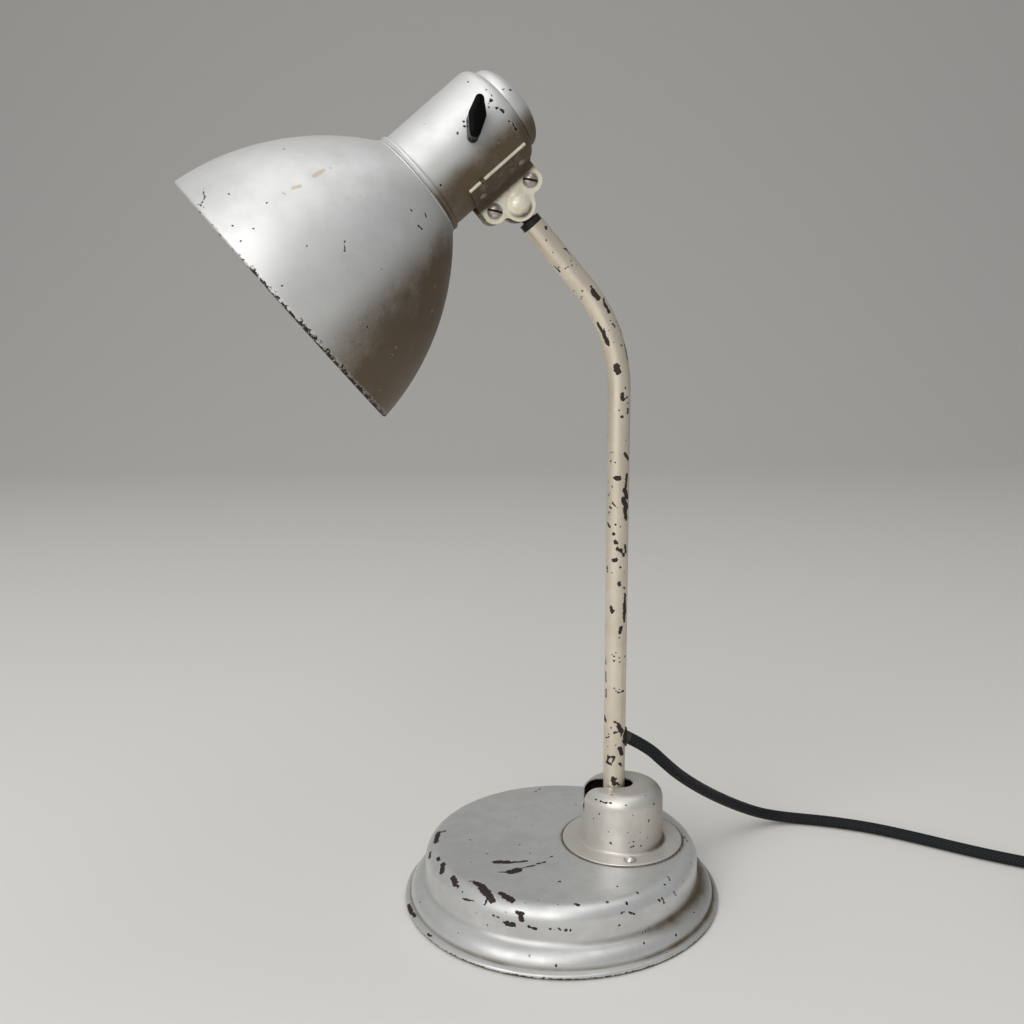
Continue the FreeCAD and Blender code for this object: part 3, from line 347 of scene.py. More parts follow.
def tubeAlong(name, places, radius, sides):
    # a closed tube of rings along a line, with a UV map in metres along and round it
    ways = np.gradient(places, axis=0)
    ways /= np.linalg.norm(ways, axis=1)[:, None]
    side = np.cross(ways[0], (0, 0, 1.0))
    bm = bmesh.new()
    uv = bm.loops.layers.uv.new("along")
    rings = []
    angles = [math.tau * i / sides for i in range(sides)]
    around = math.tau * radius / sides
    for place, way in zip(places, ways):
        side = side - way * (side @ way)
        side /= np.linalg.norm(side)
        other = np.cross(way, side)
        spokes = [side * math.cos(a) + other * math.sin(a) for a in angles]
        rings.append([bm.verts.new(place + radius * spoke) for spoke in spokes])
    steps = np.concatenate([[0], np.cumsum(np.linalg.norm(np.diff(places, axis=0), axis=1))])
    for n in range(len(rings) - 1):
        for i in range(sides):
            j = (i + 1) % sides
            face = bm.faces.new((rings[n][i], rings[n][j], rings[n + 1][j], rings[n + 1][i]))
            spots = ((steps[n], i), (steps[n], i + 1), (steps[n + 1], i + 1), (steps[n + 1], i))
            for loop, (u, v) in zip(face.loops, spots):
                loop[uv].uv = (u, v * around)
    bm.faces.new(rings[0][::-1])
    bm.faces.new(rings[-1])
    bmesh.ops.recalc_face_normals(bm, faces=bm.faces)
    tube = added(name, meshOf(name, bm))
    smooth(tube, 50)
    return tube


freePart, cordExit = cordRoute()
coilWay = (freePart[-1] - freePart[-2]).normalized()
coilPart = coilRoute(freePart[-1], coilWay)
coilEnd = coilPart[-1] + coilWay * 2 * cord["radius"]
wholeRoute = freePart + coilPart + tailRoute(coilEnd, coilWay)
cordLine = splineLine(wholeRoute)
cordTube = tubeAlong("cord", cordLine, cord["radius"] * mm, cord["sides"])
print("cord made:", round(float(np.linalg.norm(np.diff(cordLine, axis=0), axis=1).sum()), 3), "m")


# Foot shell: rolled rim, bead, hollow waist, wall and round shoulder
foot = {"radius": 85.0, "height": 30.0, "wall": 1.0, "roll": 1.3, "lift": 0.3, "groove": (82.0, 3.7),
        "bead": ((80.6, 8.0), (76.3, 10.9)), "waist": ((74.3, 12.3), (73.5, 14.8)), "wallRadius": 73.5,
        "shoulder": 8.0, "rolled": (150, 440), "rollSteps": 18, "sides": 320}


def makeFootShell():
    rollMid = foot["radius"] - foot["roll"]
    rollTop = foot["lift"] + 2 * foot["roll"]
    outer = outline((rollMid, rollTop), [
        foot["groove"], foot["bead"], foot["waist"], (foot["wallRadius"], foot["height"] - foot["shoulder"]),
        shoulder(foot["wallRadius"], foot["height"], foot["shoulder"]), (0, foot["height"])])
    inner = inset(outer, -foot["wall"])[::-1]
    rollCentre = foot["lift"] + foot["roll"]
    roll = arcRow(rollMid, rollCentre, foot["roll"], foot["roll"], *foot["rolled"], foot["rollSteps"])
    inner[0, 0] = 0
    section = np.concatenate([outer, inner[:-1], roll])
    return spun("footShell", section, world, foot["sides"])


# Hub cover: drawn cap with a slot for the arm
hub = {"middle": 33.4, "radius": 21.8, "top": 62.0, "shoulder": 7.5, "flange": 32.2, "thick": 0.9,
       "fillet": 2.0, "lip": 0.25, "edge": 0.15, "edgeIn": 0.6, "seatIn": 0.2, "spacing": 0.9, "sides": 192,
       "slotEnd": 48.0, "slotReach": 5.8, "slotHalf": 6.25, "slotSteps": 25, "slotPast": 4}
hubFrame = Matrix.Translation((hub["middle"], 0, 0))


def makeHubCover():
    low = foot["height"]
    top = low + hub["thick"]
    bend = hub["fillet"] * (1 - math.sin(math.radians(45)))
    outer = outline((hub["flange"], low + hub["lip"]), [
        ((hub["flange"] - hub["edge"], top - hub["edge"]), (hub["flange"] - hub["edgeIn"], top)),
        (hub["radius"] + hub["fillet"], top),
        ((hub["radius"] + bend, top + bend), (hub["radius"], top + hub["fillet"])),
        (hub["radius"], hub["top"] - hub["shoulder"]),
        shoulder(hub["radius"], hub["top"], hub["shoulder"]), (0, hub["top"])], hub["spacing"])
    inner = inset(outer, -hub["thick"])[::-1]
    inner[0, 0] = 0
    inner = inner[inner[:, 1] > low + hub["thick"]]
    seatFace = np.array([(hub["radius"] - hub["thick"], low), (hub["flange"] - hub["seatIn"], low)])
    cover = spun("hubCover", np.concatenate([outer, inner, seatFace]), hubFrame, hub["sides"])
    half, past = hub["slotHalf"], -hub["radius"] - hub["slotPast"]
    arc = [tuple(p) for p in arcRow(hub["slotReach"] - half, 0, half, half, -90, 90, hub["slotSteps"])]
    corners = [(past, -half)] + arc + [(past, half)]
    cutter = prism("slotCutter", corners, hub["slotEnd"], hub["top"] + hub["slotPast"], hubFrame)
    return cutBy(cover, cutter)


# Shade: spun bell with a rolled rim, in the head's frame
shade = {"radius": 71.0, "middle": (56.6, 46.6), "top": 26.9, "height": 84.0, "wall": 0.8, "roll": 1.1,
         "hole": 20.2, "edge": ((0.1, 0.2), 0.5), "rolled": (170, 360), "rollSteps": 14, "spacing": 1.4,
         "sides": 288,
         "dents": [((-10, -62, 30), 26, 0.5), ((40, -45, 40), 20, 0.35), ((-50, -28, 48), 24, 0.4),
                   ((10, -66, 10), 22, 0.5)]}


def makeShade():
    rollMid = shade["radius"] - shade["roll"]
    (edgeOut, edgeDown), edgeIn = shade["edge"]
    outer = outline((shade["radius"], shade["roll"]), [
        (shade["middle"], (shade["top"], shade["height"] - shade["wall"])),
        ((shade["top"] - edgeOut, shade["height"] - edgeDown), (shade["top"] - edgeIn, shade["height"])),
        (shade["hole"], shade["height"])], shade["spacing"])
    inner = inset(outer, -shade["wall"])[::-1]
    roll = arcRow(rollMid, shade["roll"], shade["roll"], shade["roll"], *shade["rolled"], shade["rollSteps"])
    section = np.concatenate([outer, inner[:-1], roll[:-1]])
    bell = spun("shadeBell", section, world, shade["sides"])
    points = localPoints(bell, world)
    for place, reach, depth in shade["dents"]:
        away = np.linalg.norm(points - np.array(place), axis=1) / reach
        push = depth * np.exp(-(away * 2) ** 2)
        radial = points[:, :2] / np.maximum(np.linalg.norm(points[:, :2], axis=1), 1)[:, None]
        points[:, :2] -= radial * push[:, None]
    bell.data.vertices.foreach_set("co", (points * mm).astype(np.float32).ravel())
    bell.data.transform(Matrix.Scale(mm, 4) @ headFrame @ Matrix.Scale(1 / mm, 4))
    return bell


# Neck cover: a beaded foot, a straight wall and a round shoulder. End cap: a low dome on a short band.
neck = {"radius": 25.35, "wall": 0.8, "beadRadius": 26.65, "beadHeight": 3.2, "shoulder": 5.6, "top": 137.8,
        "foot": (0.7, 0.2), "flare": ((-0.3, 0.35), (0.75, 0.9)), "beadRise": 0.4, "innerCorner": 0.55,
        "topIn": 1.6, "spacing": 0.8, "innerSpacing": 2.0, "sides": 224}
cap = {"radius": 20.9, "band": 1.2, "dome": 9.5, "wall": 0.8, "edge": 0.25, "gap": 0.03, "steps": 30,
       "sides": 192}


def makeNeckCover():
    low, radius, top = shade["height"], neck["radius"], neck["top"]
    mid = low + neck["beadHeight"] / 2
    corner, shoulderEnd = shoulder(radius, top, neck["shoulder"])
    shoulderSide = top - neck["shoulder"]
    innerTop, innerRadius, hole = top - neck["wall"], radius - neck["wall"], cap["radius"] - neck["topIn"]
    (flareIn, flareRise), (flareOut, flareTop) = neck["flare"]
    outer = outline((radius + neck["foot"][0], low + neck["foot"][1]), [
        ((neck["beadRadius"] + flareIn, low + flareRise), (radius + flareOut, low + flareTop)),
        ((neck["beadRadius"], mid + neck["beadRise"]), (radius, low + neck["beadHeight"])),
        (radius, shoulderSide), (corner, shoulderEnd), (hole, top)], neck["spacing"])
    inner = outline((hole, innerTop), [
        (shoulderEnd[0], innerTop),
        (tuple(c - neck["innerCorner"] for c in corner), (innerRadius, shoulderSide)),
        (innerRadius, low + neck["foot"][1])], neck["innerSpacing"])
    return spun("neckCover", np.concatenate([outer, inner]), headFrame, neck["sides"])


def makeEndCap():
    low, radius, inner = neck["top"] + cap["gap"], cap["radius"], cap["radius"] - cap["wall"]
    domeLow = low + cap["band"]
    dome = arcRow(0, domeLow, radius, cap["dome"], 0, 90, cap["steps"])
    hollow = arcRow(0, domeLow, inner, cap["dome"] - cap["wall"], 0, 90, cap["steps"])
    start = np.array([(radius - cap["edge"], low), (radius, low + cap["edge"])])
    dome[-1, 0] = hollow[-1, 0] = 0
    section = np.concatenate([start, dome, hollow[::-1], [(inner, low)]])
    return spun("endCap", section, headFrame, cap["sides"])


# Clamp plate: lobes round two screws and the ball, a bent strap along the neck, a bulge over the ball
plate = {"gapHalf": 5.4, "thick": 1.2, "width": 34.0, "screwOut": 32.35, "screwPitch": 22.5,
         "screwLobe": 6.0, "ballLobe": 7.8, "hollow": 2.6, "strapEnd": 48.0, "rivetAngle": 29.0,
         "rivetPitch": 24.1, "ball": 7.5, "play": 0.05, "seatGap": 0.02, "fillet": 1.2, "grid": 0.62,
         "clear": 0.6, "soft": 0.35, "softReach": 2, "edgeRound": 0.2, "edgeAngle": 50,
         "lobeSteps": (12, 8, 10)}


def lobeOutline(rootX):
    # points of the plate's edge, from tangent arcs round the lobes
    ball = np.array([head["ballOut"], head["ballAlong"]])
    low = np.array([plate["screwOut"], head["ballAlong"] - plate["screwPitch"] / 2])
    lowEdge = head["ballAlong"] - plate["width"] / 2
    reachA, reachB = plate["screwLobe"] + plate["hollow"], plate["ballLobe"] + plate["hollow"]
    gap = np.linalg.norm(ball - low)
    way = (ball - low) / gap
    shift = (reachA ** 2 - reachB ** 2 + gap ** 2) / (2 * gap)
    sideways = np.array([way[1], -way[0]])
    hollow = low + way * shift + sideways * math.sqrt(reachA ** 2 - shift ** 2)

    def arc(centre, radius, start, end, count):
        first = math.atan2(*(start - centre)[::-1])
        sweep = (math.atan2(*(end - centre)[::-1]) - first + math.pi) % math.tau - math.pi
        angles = first + sweep * np.arange(1, count + 1) / count
        return [centre + radius * np.array([math.cos(a), math.sin(a)]) for a in angles]

    lowStart = np.array([low[0], lowEdge])
    lowTouch = low + (hollow - low) / reachA * plate["screwLobe"]
    ballTouch = ball + (hollow - ball) / reachB * plate["ballLobe"]
    stretches = ((low, "screwLobe", lowStart, lowTouch), (hollow, "hollow", lowTouch, ballTouch),
                 (ball, "ballLobe", ballTouch, ball + np.array([plate["ballLobe"], 0])))
    points = [np.array([rootX, lowEdge]), lowStart]
    for (centre, radius, start, end), count in zip(stretches, plate["lobeSteps"]):
        points += arc(centre, plate[radius], start, end, count)
    mirrored = [np.array([p[0], 2 * head["ballAlong"] - p[1]]) for p in points[::-1][1:]]
    return points + mirrored


def plateProfile():
    # the outer face seen along the head's axis: how long its stretches are, and its shape
    outer = neck["radius"] + plate["seatGap"] + plate["thick"]
    flatY = plate["gapHalf"] + plate["thick"]
    filletY = flatY + plate["fillet"]
    filletX = math.sqrt((outer + plate["fillet"]) ** 2 - filletY ** 2)
    tangent = math.atan2(filletY, filletX)
    strapLong = outer * (math.radians(plate["strapEnd"]) - tangent)
    bendLong = plate["fillet"] * (math.pi / 2 - tangent)
    return outer, flatY, filletX, filletY, tangent, strapLong, bendLong


def plateSpot(along):
    # a point (x, y) of the outer face at a way along it from the strap's end
    outer, flatY, filletX, filletY, tangent, strapLong, bendLong = plateProfile()
    if along < strapLong:
        angle = math.radians(plate["strapEnd"]) - along / outer
        return outer * math.cos(angle), outer * math.sin(angle)
    if along < strapLong + bendLong:
        angle = math.pi + tangent + (along - strapLong) / plate["fillet"]
        return filletX + plate["fillet"] * math.cos(angle), filletY + plate["fillet"] * math.sin(angle)
    return filletX + along - strapLong - bendLong, flatY


def makePlate(name, side):
    # one sheet, laid out flat inside its edge, then bent round the neck and raised over the ball
    flatY, filletX = plateProfile()[1:3]
    flatStart = sum(plateProfile()[-2:])
    low, high = (head["ballAlong"] + end * plate["width"] / 2 for end in (-1, 1))
    lobes = [(x - filletX + flatStart, z) for x, z in lobeOutline(filletX)]
    count = int(flatStart / plate["grid"])
    lowEdge = [(flatStart * i / count, low) for i in range(1, count)]
    highEdge = [(flatStart * i / count, high) for i in range(count - 1, 0, -1)]
    rows = int(plate["width"] / plate["grid"])
    endEdge = [(0, high - plate["width"] * i / rows) for i in range(rows)]
    edge = [(0, low)] + lowEdge + lobes + highEdge + endEdge
    ring = [Vector(p) for p in edge]
    inner = []
    columns = int((flatStart + 2 * plate["width"] / 3) / plate["grid"])
    for i in range(1, columns):
        for j in range(1, rows):
            spot = Vector((i * plate["grid"], low + plate["width"] * j / rows))
            clear = min((spot - p).length for p in ring) > plate["clear"] * plate["grid"]
            if clear and insideRing(spot, ring):
                inner.append(spot)
    flat = delaunay_2d_cdt(ring + inner, [], [list(range(len(ring)))], 1, 1e-5)
    bulge = plate["ball"] + plate["play"] + plate["thick"]
    bm = bmesh.new()
    verts = []
    for spot in flat[0]:
        x, y = plateSpot(spot.x)
        away = math.hypot(x - head["ballOut"], spot.y - head["ballAlong"])
        proud = math.sqrt(max(bulge ** 2 - away ** 2, 0)) - flatY
        if spot.x > flatStart and proud > -plate["softReach"]:
            y += (math.sqrt(proud ** 2 + plate["soft"] ** 2) + proud) / 2
        verts.append(bm.verts.new((x, y * side, spot.y)))
    for face in flat[2]:
        bm.faces.new([verts[i] for i in face])
    if side > 0:
        bmesh.ops.reverse_faces(bm, faces=bm.faces)
    piece = added(name, meshOf(name, bm))
    wall = piece.modifiers.new("wall", "SOLIDIFY")
    wall.thickness = plate["thick"]
    wall.offset = -1
    edgeRound = piece.modifiers.new("edge", "BEVEL")
    edgeRound.width = plate["edgeRound"]
    edgeRound.segments = 2
    edgeRound.limit_method = "ANGLE"
    edgeRound.angle_limit = math.radians(plate["edgeAngle"])
    applied(piece)
    piece.data.transform(Matrix.Scale(mm, 4) @ headFrame)
    smooth(piece, 40)
    return piece


def insideRing(spot, ring):
    inside = False
    for a, b in zip(ring, ring[1:] + ring[:1]):
        crossed = (a.y > spot.y) != (b.y > spot.y)
        if crossed and spot.x < a.x + (b.x - a.x) * (spot.y - a.y) / (b.y - a.y):
            inside = not inside
    return inside


# Key: a leaf-shaped thumb grip on a spindle, turned as it was left
key = {"along": 117.405, "roll": 5.2, "stand": 26.6, "deep": 13.5, "up": 11.5, "down": 7.2, "half": 4.0,
       "lowHalf": 2.6, "tip": 2.0, "middle": 2.6, "angle": 40.4, "spindle": 2.4, "into": 3, "rootRound": 0.5,
       "waist": 0.45, "waistLow": 0.8, "waistLess": 2.6, "topRound": 0.6, "crown": 0.35, "crownIn": 0.6,
       "least": 0.06}
keyFrame = (headFrame @ Matrix.Translation((0, 0, key["along"]))
            @ Matrix.Rotation(math.radians(-key["roll"]), 4, "Z") @ Matrix.Rotation(math.radians(90), 4, "X"))


def leafRing(drawnIn, count=96):
    # outline round three circles in a row, drawn in: the farthest point on each bearing
    circles = [(key["lowHalf"] - key["down"], key["lowHalf"]), (key["middle"], key["half"]),
               (key["up"] - key["tip"], key["tip"])]
    points = []
    for i in range(count):
        angle = math.tau * i / count
        way = (math.cos(angle), math.sin(angle))
        along, radius = max(circles, key=lambda circle: circle[0] * way[1] + circle[1])
        radius = max(radius - drawnIn, key["least"] * radius)
        points.append((radius * way[0], along * min(1, 1.15 - drawnIn / 9) + radius * way[1]))
    return points


def makeKey():
    # levels say how far drawn in and how high: the round foot, the hollow sides, the round edge, the crown
    bm = bmesh.new()
    low, high = key["stand"], key["stand"] + key["deep"]
    root, edge, side = key["rootRound"], key["topRound"], key["deep"] - key["waistLess"]
    levels = [(root * (1 - math.sin(a)), low + root * (1 - math.cos(a)))
              for a in np.radians(np.linspace(0, 90, 5))]
    levels += [(key["waist"] * math.sin(math.pi * t) ** 2, low + key["waistLow"] + side * t)
               for t in np.linspace(0.08, 0.96, 9)]
    levels += [(edge * (1 - math.cos(a)), high - key["crown"] - edge * (1 - math.sin(a)))
               for a in np.radians(np.linspace(0, 82, 7))]
    levels += [(edge + t * key["half"] * key["crownIn"], high - key["crown"] * (1 - t) ** 2)
               for t in (0.25, 0.6, 0.9)]
    rings = [[bm.verts.new((x, y, height)) for x, y in leafRing(drawnIn)] for drawnIn, height in levels]
    for lower, upper in zip(rings, rings[1:]):
        wallBetween(bm, lower, upper)
    bm.faces.new(rings[0][::-1])
    bm.faces.new(rings[-1])
    grip = finished("switchKey", bm, keyFrame @ Matrix.Rotation(math.radians(key["angle"]), 4, "Z"), 40)
    start, end = low - key["into"], low + 1
    shaft = outline((0, start), [(key["spindle"], start), (key["spindle"], end), (0, end)], 0.8)
    return joined(grip, spun("keySpindle", shaft, keyFrame, 48))


def joined(piece, other):
    # puts another piece's mesh into this piece
    bm = bmesh.new()
    for part in (piece, other):
        bm.from_mesh(part.data)
    bm.to_mesh(piece.data)
    bm.free()
    bpy.data.objects.remove(other)
    smooth(piece)
    return piece


footShell = makeFootShell()
hubCover = makeHubCover()
print("foot and hub made")
shadeBell = makeShade()
neckCover = makeNeckCover()
endCap = makeEndCap()
frontPlate = makePlate("frontPlate", -1)
rearPlate = makePlate("rearPlate", 1)
switchKey = makeKey()
print("head made")


# Geometry Nodes: one tree sweeps the arm, one sets fasteners out
def newTree(name, inputs):
    tree = bpy.data.node_groups.new(name, "GeometryNodeTree")
    tree.interface.new_socket("Geometry", in_out="INPUT", socket_type="NodeSocketGeometry")
    for label, kind, value in inputs:
        socket = tree.interface.new_socket(label, in_out="INPUT", socket_type="NodeSocket" + kind)
        if value is not None:
            socket.default_value = value
    tree.interface.new_socket("Geometry", in_out="OUTPUT", socket_type="NodeSocketGeometry")
    return tree, tree.nodes.new("NodeGroupInput"), tree.nodes.new("NodeGroupOutput")


def runTree(piece, tree, values, sharp=35):
    # gives a piece the tree with these inputs, and keeps the result as a plain mesh
    shaper = piece.modifiers.new("shape", "NODES")
    shaper.node_group = tree
    for item in tree.interface.items_tree:
        if item.name in values and item.in_out == "INPUT":
            shaper[item.identifier] = values[item.name]
    return applied(piece, sharp)


def bentTubeTree():
    tree, given, result = newTree("bentTube", [("Radius", "Float", 0.005), ("Bend Radius", "Float", 0.08),
                                               ("Bend Steps", "Int", 24), ("Step", "Float", 0.001),
                                               ("Sides", "Int", 48), ("Paint", "Material", None)])
    line = tree.nodes.new("GeometryNodeMeshToCurve")
    rounded = tree.nodes.new("GeometryNodeFilletCurve")
    rounded.mode = "POLY"
    evened = tree.nodes.new("GeometryNodeResampleCurve")
    evened.mode = "LENGTH"
    circle = tree.nodes.new("GeometryNodeCurvePrimitiveCircle")
    sweep = tree.nodes.new("GeometryNodeCurveToMesh")
    real = tree.nodes.new("GeometryNodeRealizeInstances")
    coated = tree.nodes.new("GeometryNodeSetMaterial")
    join = tree.links.new
    join(given.outputs["Geometry"], line.inputs["Mesh"])
    join(line.outputs["Curve"], rounded.inputs["Curve"])
    join(given.outputs["Bend Radius"], rounded.inputs["Radius"])
    join(given.outputs["Bend Steps"], rounded.inputs["Count"])
    join(rounded.outputs["Curve"], evened.inputs["Curve"])
    join(given.outputs["Step"], evened.inputs["Length"])
    join(given.outputs["Sides"], circle.inputs["Resolution"])
    join(given.outputs["Radius"], circle.inputs["Radius"])
    join(evened.outputs["Curve"], sweep.inputs["Curve"])
    join(circle.outputs["Curve"], sweep.inputs["Profile Curve"])
    join(sweep.outputs["Mesh"], real.inputs["Geometry"])
    join(real.outputs["Geometry"], coated.inputs["Geometry"])
    join(given.outputs["Paint"], coated.inputs["Material"])
    join(coated.outputs["Geometry"], result.inputs["Geometry"])
    return tree


def makeArmTube(coat):
    low = Vector((0, 0, arm["foot"]))
    end = ballPoint - upperWay * arm["endGap"]
    mesh = bpy.data.meshes.new("armTube")
    mesh.from_pydata([low, armCorner, end], [(0, 1), (1, 2)], [])
    piece = added("armTube", mesh)
    runTree(piece, bentTubeTree(), {"Radius": arm["radius"], "Bend Radius": arm["bendRadius"],
                                    "Bend Steps": arm["bendSteps"], "Step": arm["step"],
                                    "Sides": arm["sides"], "Paint": coat})
    bm = bmesh.new()
    bm.from_mesh(piece.data)
    bmesh.ops.recalc_face_normals(bm, faces=bm.faces)
    bm.to_mesh(piece.data)
    bm.free()
    wall = piece.modifiers.new("wall", "SOLIDIFY")
    wall.thickness = arm["wall"]
    wall.offset = -1
    wall.use_rim = True
    applied(piece)
    piece.data.transform(Matrix.Scale(mm, 4) @ armFrame)
    return piece


def fastenerTree():
    tree, given, result = newTree("fasteners", [("Part", "Object", None), ("Metal", "Material", None)])
    source = tree.nodes.new("GeometryNodeObjectInfo")
    aim = tree.nodes.new("GeometryNodeInputNamedAttribute")
    aim.data_type = "FLOAT_VECTOR"
    aim.inputs["Name"].default_value = "aim"
    roll = tree.nodes.new("GeometryNodeInputNamedAttribute")
    roll.inputs["Name"].default_value = "roll"
    align = tree.nodes.new("FunctionNodeAlignRotationToVector")
    spin = tree.nodes.new("FunctionNodeAxisAngleToRotation")
    rotate = tree.nodes.new("FunctionNodeRotateRotation")
    rotate.rotation_space = "LOCAL"
    points = tree.nodes.new("GeometryNodeInstanceOnPoints")
    real = tree.nodes.new("GeometryNodeRealizeInstances")
    coated = tree.nodes.new("GeometryNodeSetMaterial")
    join = tree.links.new
    join(given.outputs["Part"], source.inputs["Object"])
    join(aim.outputs["Attribute"], align.inputs["Vector"])
    join(roll.outputs["Attribute"], spin.inputs["Angle"])
    join(align.outputs["Rotation"], rotate.inputs["Rotation"])
    join(spin.outputs["Rotation"], rotate.inputs["Rotate By"])
    join(given.outputs["Geometry"], points.inputs["Points"])
    join(source.outputs["Geometry"], points.inputs["Instance"])
    join(rotate.outputs["Rotation"], points.inputs["Rotation"])
    join(points.outputs["Instances"], real.inputs["Geometry"])
    join(real.outputs["Geometry"], coated.inputs["Geometry"])
    join(given.outputs["Metal"], coated.inputs["Material"])
    join(coated.outputs["Geometry"], result.inputs["Geometry"])
    return tree


fasteners = fastenerTree()


def setOut(name, part, places, metal):
    # one piece of several fasteners: places are (point, aim, roll) in the shared frame, in millimetres
    mesh = bpy.data.meshes.new(name)
    mesh.from_pydata([Vector(p) * mm for p, aim, roll in places], [], [])
    aims = mesh.attributes.new("aim", "FLOAT_VECTOR", "POINT")
    aims.data.foreach_set("vector", np.array([list(aim) for p, aim, roll in places], np.float32).ravel())
    rolls = mesh.attributes.new("roll", "FLOAT", "POINT")
    rolls.data.foreach_set("value", np.array([roll for p, aim, roll in places], np.float32))
    piece = added(name, mesh)
    runTree(piece, fasteners, {"Part": part, "Metal": metal}, 40)
    bpy.data.objects.remove(part)
    return piece


# Fastener shapes, each made along +Z with its seat at zero
hubScrew = {"pitch": 26.55, "turned": 3.5, "head": 2.7, "height": 2.0, "shank": 1.5, "long": 4.5}
clampScrew = {"head": 3.8, "height": 2.1, "shank": 1.7, "long": 9.0, "slot": 1.1, "deep": 1.2,
              "rolls": (-2, 1)}
rivet = {"head": 1.9, "height": 0.9, "shank": 1.2, "long": 2.0}
headEdge = {"in": 0.15, "up": 0.12, "steps": 14, "sides": 40}


def hubSpots():
    # where the two hub screws stand, from the hub's own axis
    turned = math.radians(hubScrew["turned"])
    return [(hubScrew["pitch"] * math.sin(turned), end * hubScrew["pitch"] * math.cos(turned))
            for end in (-1, 1)]


def domedHead(name, sizes):
    # a shank under a head that is part of a ball
    radius, height, shank, long = (sizes[word] for word in ("head", "height", "shank", "long"))
    ballRadius = (radius ** 2 + height ** 2) / (2 * height)
    middle = height - ballRadius
    angles = np.linspace(math.asin(min(1, radius / ballRadius)), 0, headEdge["steps"])
    dome = [(ballRadius * math.sin(a), middle + ballRadius * math.cos(a)) for a in angles]
    dome[-1] = (0, height)
    start = [(0, -long), (shank, -long), (shank, 0), (radius - headEdge["in"], 0), (radius, headEdge["up"])]
    return spun(name, np.array(start + dome[1:]), world, headEdge["sides"])


def slottedHead():
    part = domedHead("slotted", clampScrew)
    half, reach = clampScrew["slot"] / 2, clampScrew["head"] + 1
    bottom = clampScrew["height"] - clampScrew["deep"]
    corners = [(-reach, -half), (reach, -half), (reach, half), (-reach, half)]
    part = cutBy(part, prism("slot", corners, bottom, clampScrew["height"] + 1, world), 40)
    across, up = localPoints(part, world).T[1:]
    # the slot's floor is darkened as painted shade
    storeField(part, "grimeField", (np.abs(across) < half + 0.01) & (up < bottom + 0.05))
    return part


# Shader groups: each puts out only masks, heights and values
def newGroup(name, inputs, outputs):
    group = bpy.data.node_groups.new(name, "ShaderNodeTree")
    for label, value in inputs:
        socket = group.interface.new_socket(label, in_out="INPUT", socket_type="NodeSocketFloat")
        socket.default_value = value
    for label in outputs:
        group.interface.new_socket(label, in_out="OUTPUT", socket_type="NodeSocketFloat")
    given, result = group.nodes.new("NodeGroupInput"), group.nodes.new("NodeGroupOutput")
    return group, Maker(group), given.outputs, result.inputs


class Maker:
    # short ways to place nodes in one tree
    def __init__(self, tree):
        self.tree = tree

    def put(self, socket, value):
        if isinstance(value, bpy.types.NodeSocket):
            self.tree.links.new(value, socket)
        else:
            socket.default_value = value

    def math(self, operation, *values):
        node = self.tree.nodes.new("ShaderNodeMath")
        node.operation = operation
        for socket, value in zip(node.inputs, values):
            self.put(socket, value)
        return node.outputs[0]

    def times(self, first, second):
        return self.math("MULTIPLY", first, second)

    def plus(self, first, second):
        return self.math("ADD", first, second)

    def minus(self, first, second):
        return self.math("SUBTRACT", first, second)

    def ramp(self, value, low, high, start=0.0, end=1.0):
        node = self.tree.nodes.new("ShaderNodeMapRange")
        node.interpolation_type = "SMOOTHSTEP"
        for socket, given in zip(node.inputs, (value, low, high, start, end)):
            self.put(socket, given)
        return node.outputs[0]

    def place(self):
        # the point on the piece in millimetres
        where = self.tree.nodes.new("ShaderNodeTexCoord").outputs["Object"]
        node = self.tree.nodes.new("ShaderNodeVectorMath")
        node.operation = "SCALE"
        self.put(node.inputs[0], where)
        node.inputs["Scale"].default_value = 1000
        return node.outputs[0]

    def noise(self, where, scale, detail=3.0, rough=0.55, shift=0.0):
        node = self.tree.nodes.new("ShaderNodeTexNoise")
        moved = self.tree.nodes.new("ShaderNodeVectorMath")
        self.put(moved.inputs[0], where)
        moved.inputs[1].default_value = (shift, shift * 1.7, -shift)
        self.put(node.inputs["Vector"], moved.outputs[0])
        self.put(node.inputs["Scale"], scale)
        self.put(node.inputs["Detail"], detail)
        self.put(node.inputs["Roughness"], rough)
        return node.outputs[0]

    def cells(self, where, scale, shift=0.0):
        # distance to the nearest cell's point, and that cell's own random value
        node = self.tree.nodes.new("ShaderNodeTexVoronoi")
        moved = self.tree.nodes.new("ShaderNodeVectorMath")
        self.put(moved.inputs[0], where)
        moved.inputs[1].default_value = (shift, -shift, shift * 1.3)
        self.put(node.inputs["Vector"], moved.outputs[0])
        self.put(node.inputs["Scale"], scale)
        split = self.tree.nodes.new("ShaderNodeSeparateColor")
        self.put(split.inputs[0], node.outputs["Color"])
        return node.outputs["Distance"], split.outputs[0]

    def field(self, name):
        node = self.tree.nodes.new("ShaderNodeAttribute")
        node.attribute_name = name
        return node.outputs["Fac"]

    def mix(self, share, first, second):
        node = self.tree.nodes.new("ShaderNodeMix")
        node.data_type = "RGBA"
        self.put(node.inputs[0], share)
        for socket, value in ((node.inputs[6], first), (node.inputs[7], second)):
            self.put(socket, (*value, 1) if isinstance(value, tuple) else value)
        return node.outputs[2]

    def bump(self, height, strength, distance, normal=None):
        node = self.tree.nodes.new("ShaderNodeBump")
        node.inputs["Strength"].default_value = strength
        node.inputs["Distance"].default_value = distance
        self.put(node.inputs["Height"], height)
        if normal is not None:
            self.put(node.inputs["Normal"], normal)
        return node.outputs[0]

    def group(self, group, values):
        node = self.tree.nodes.new("ShaderNodeGroup")
        node.node_tree = group
        for name, value in values.items():
            self.put(node.inputs[name], value)
        return node.outputs


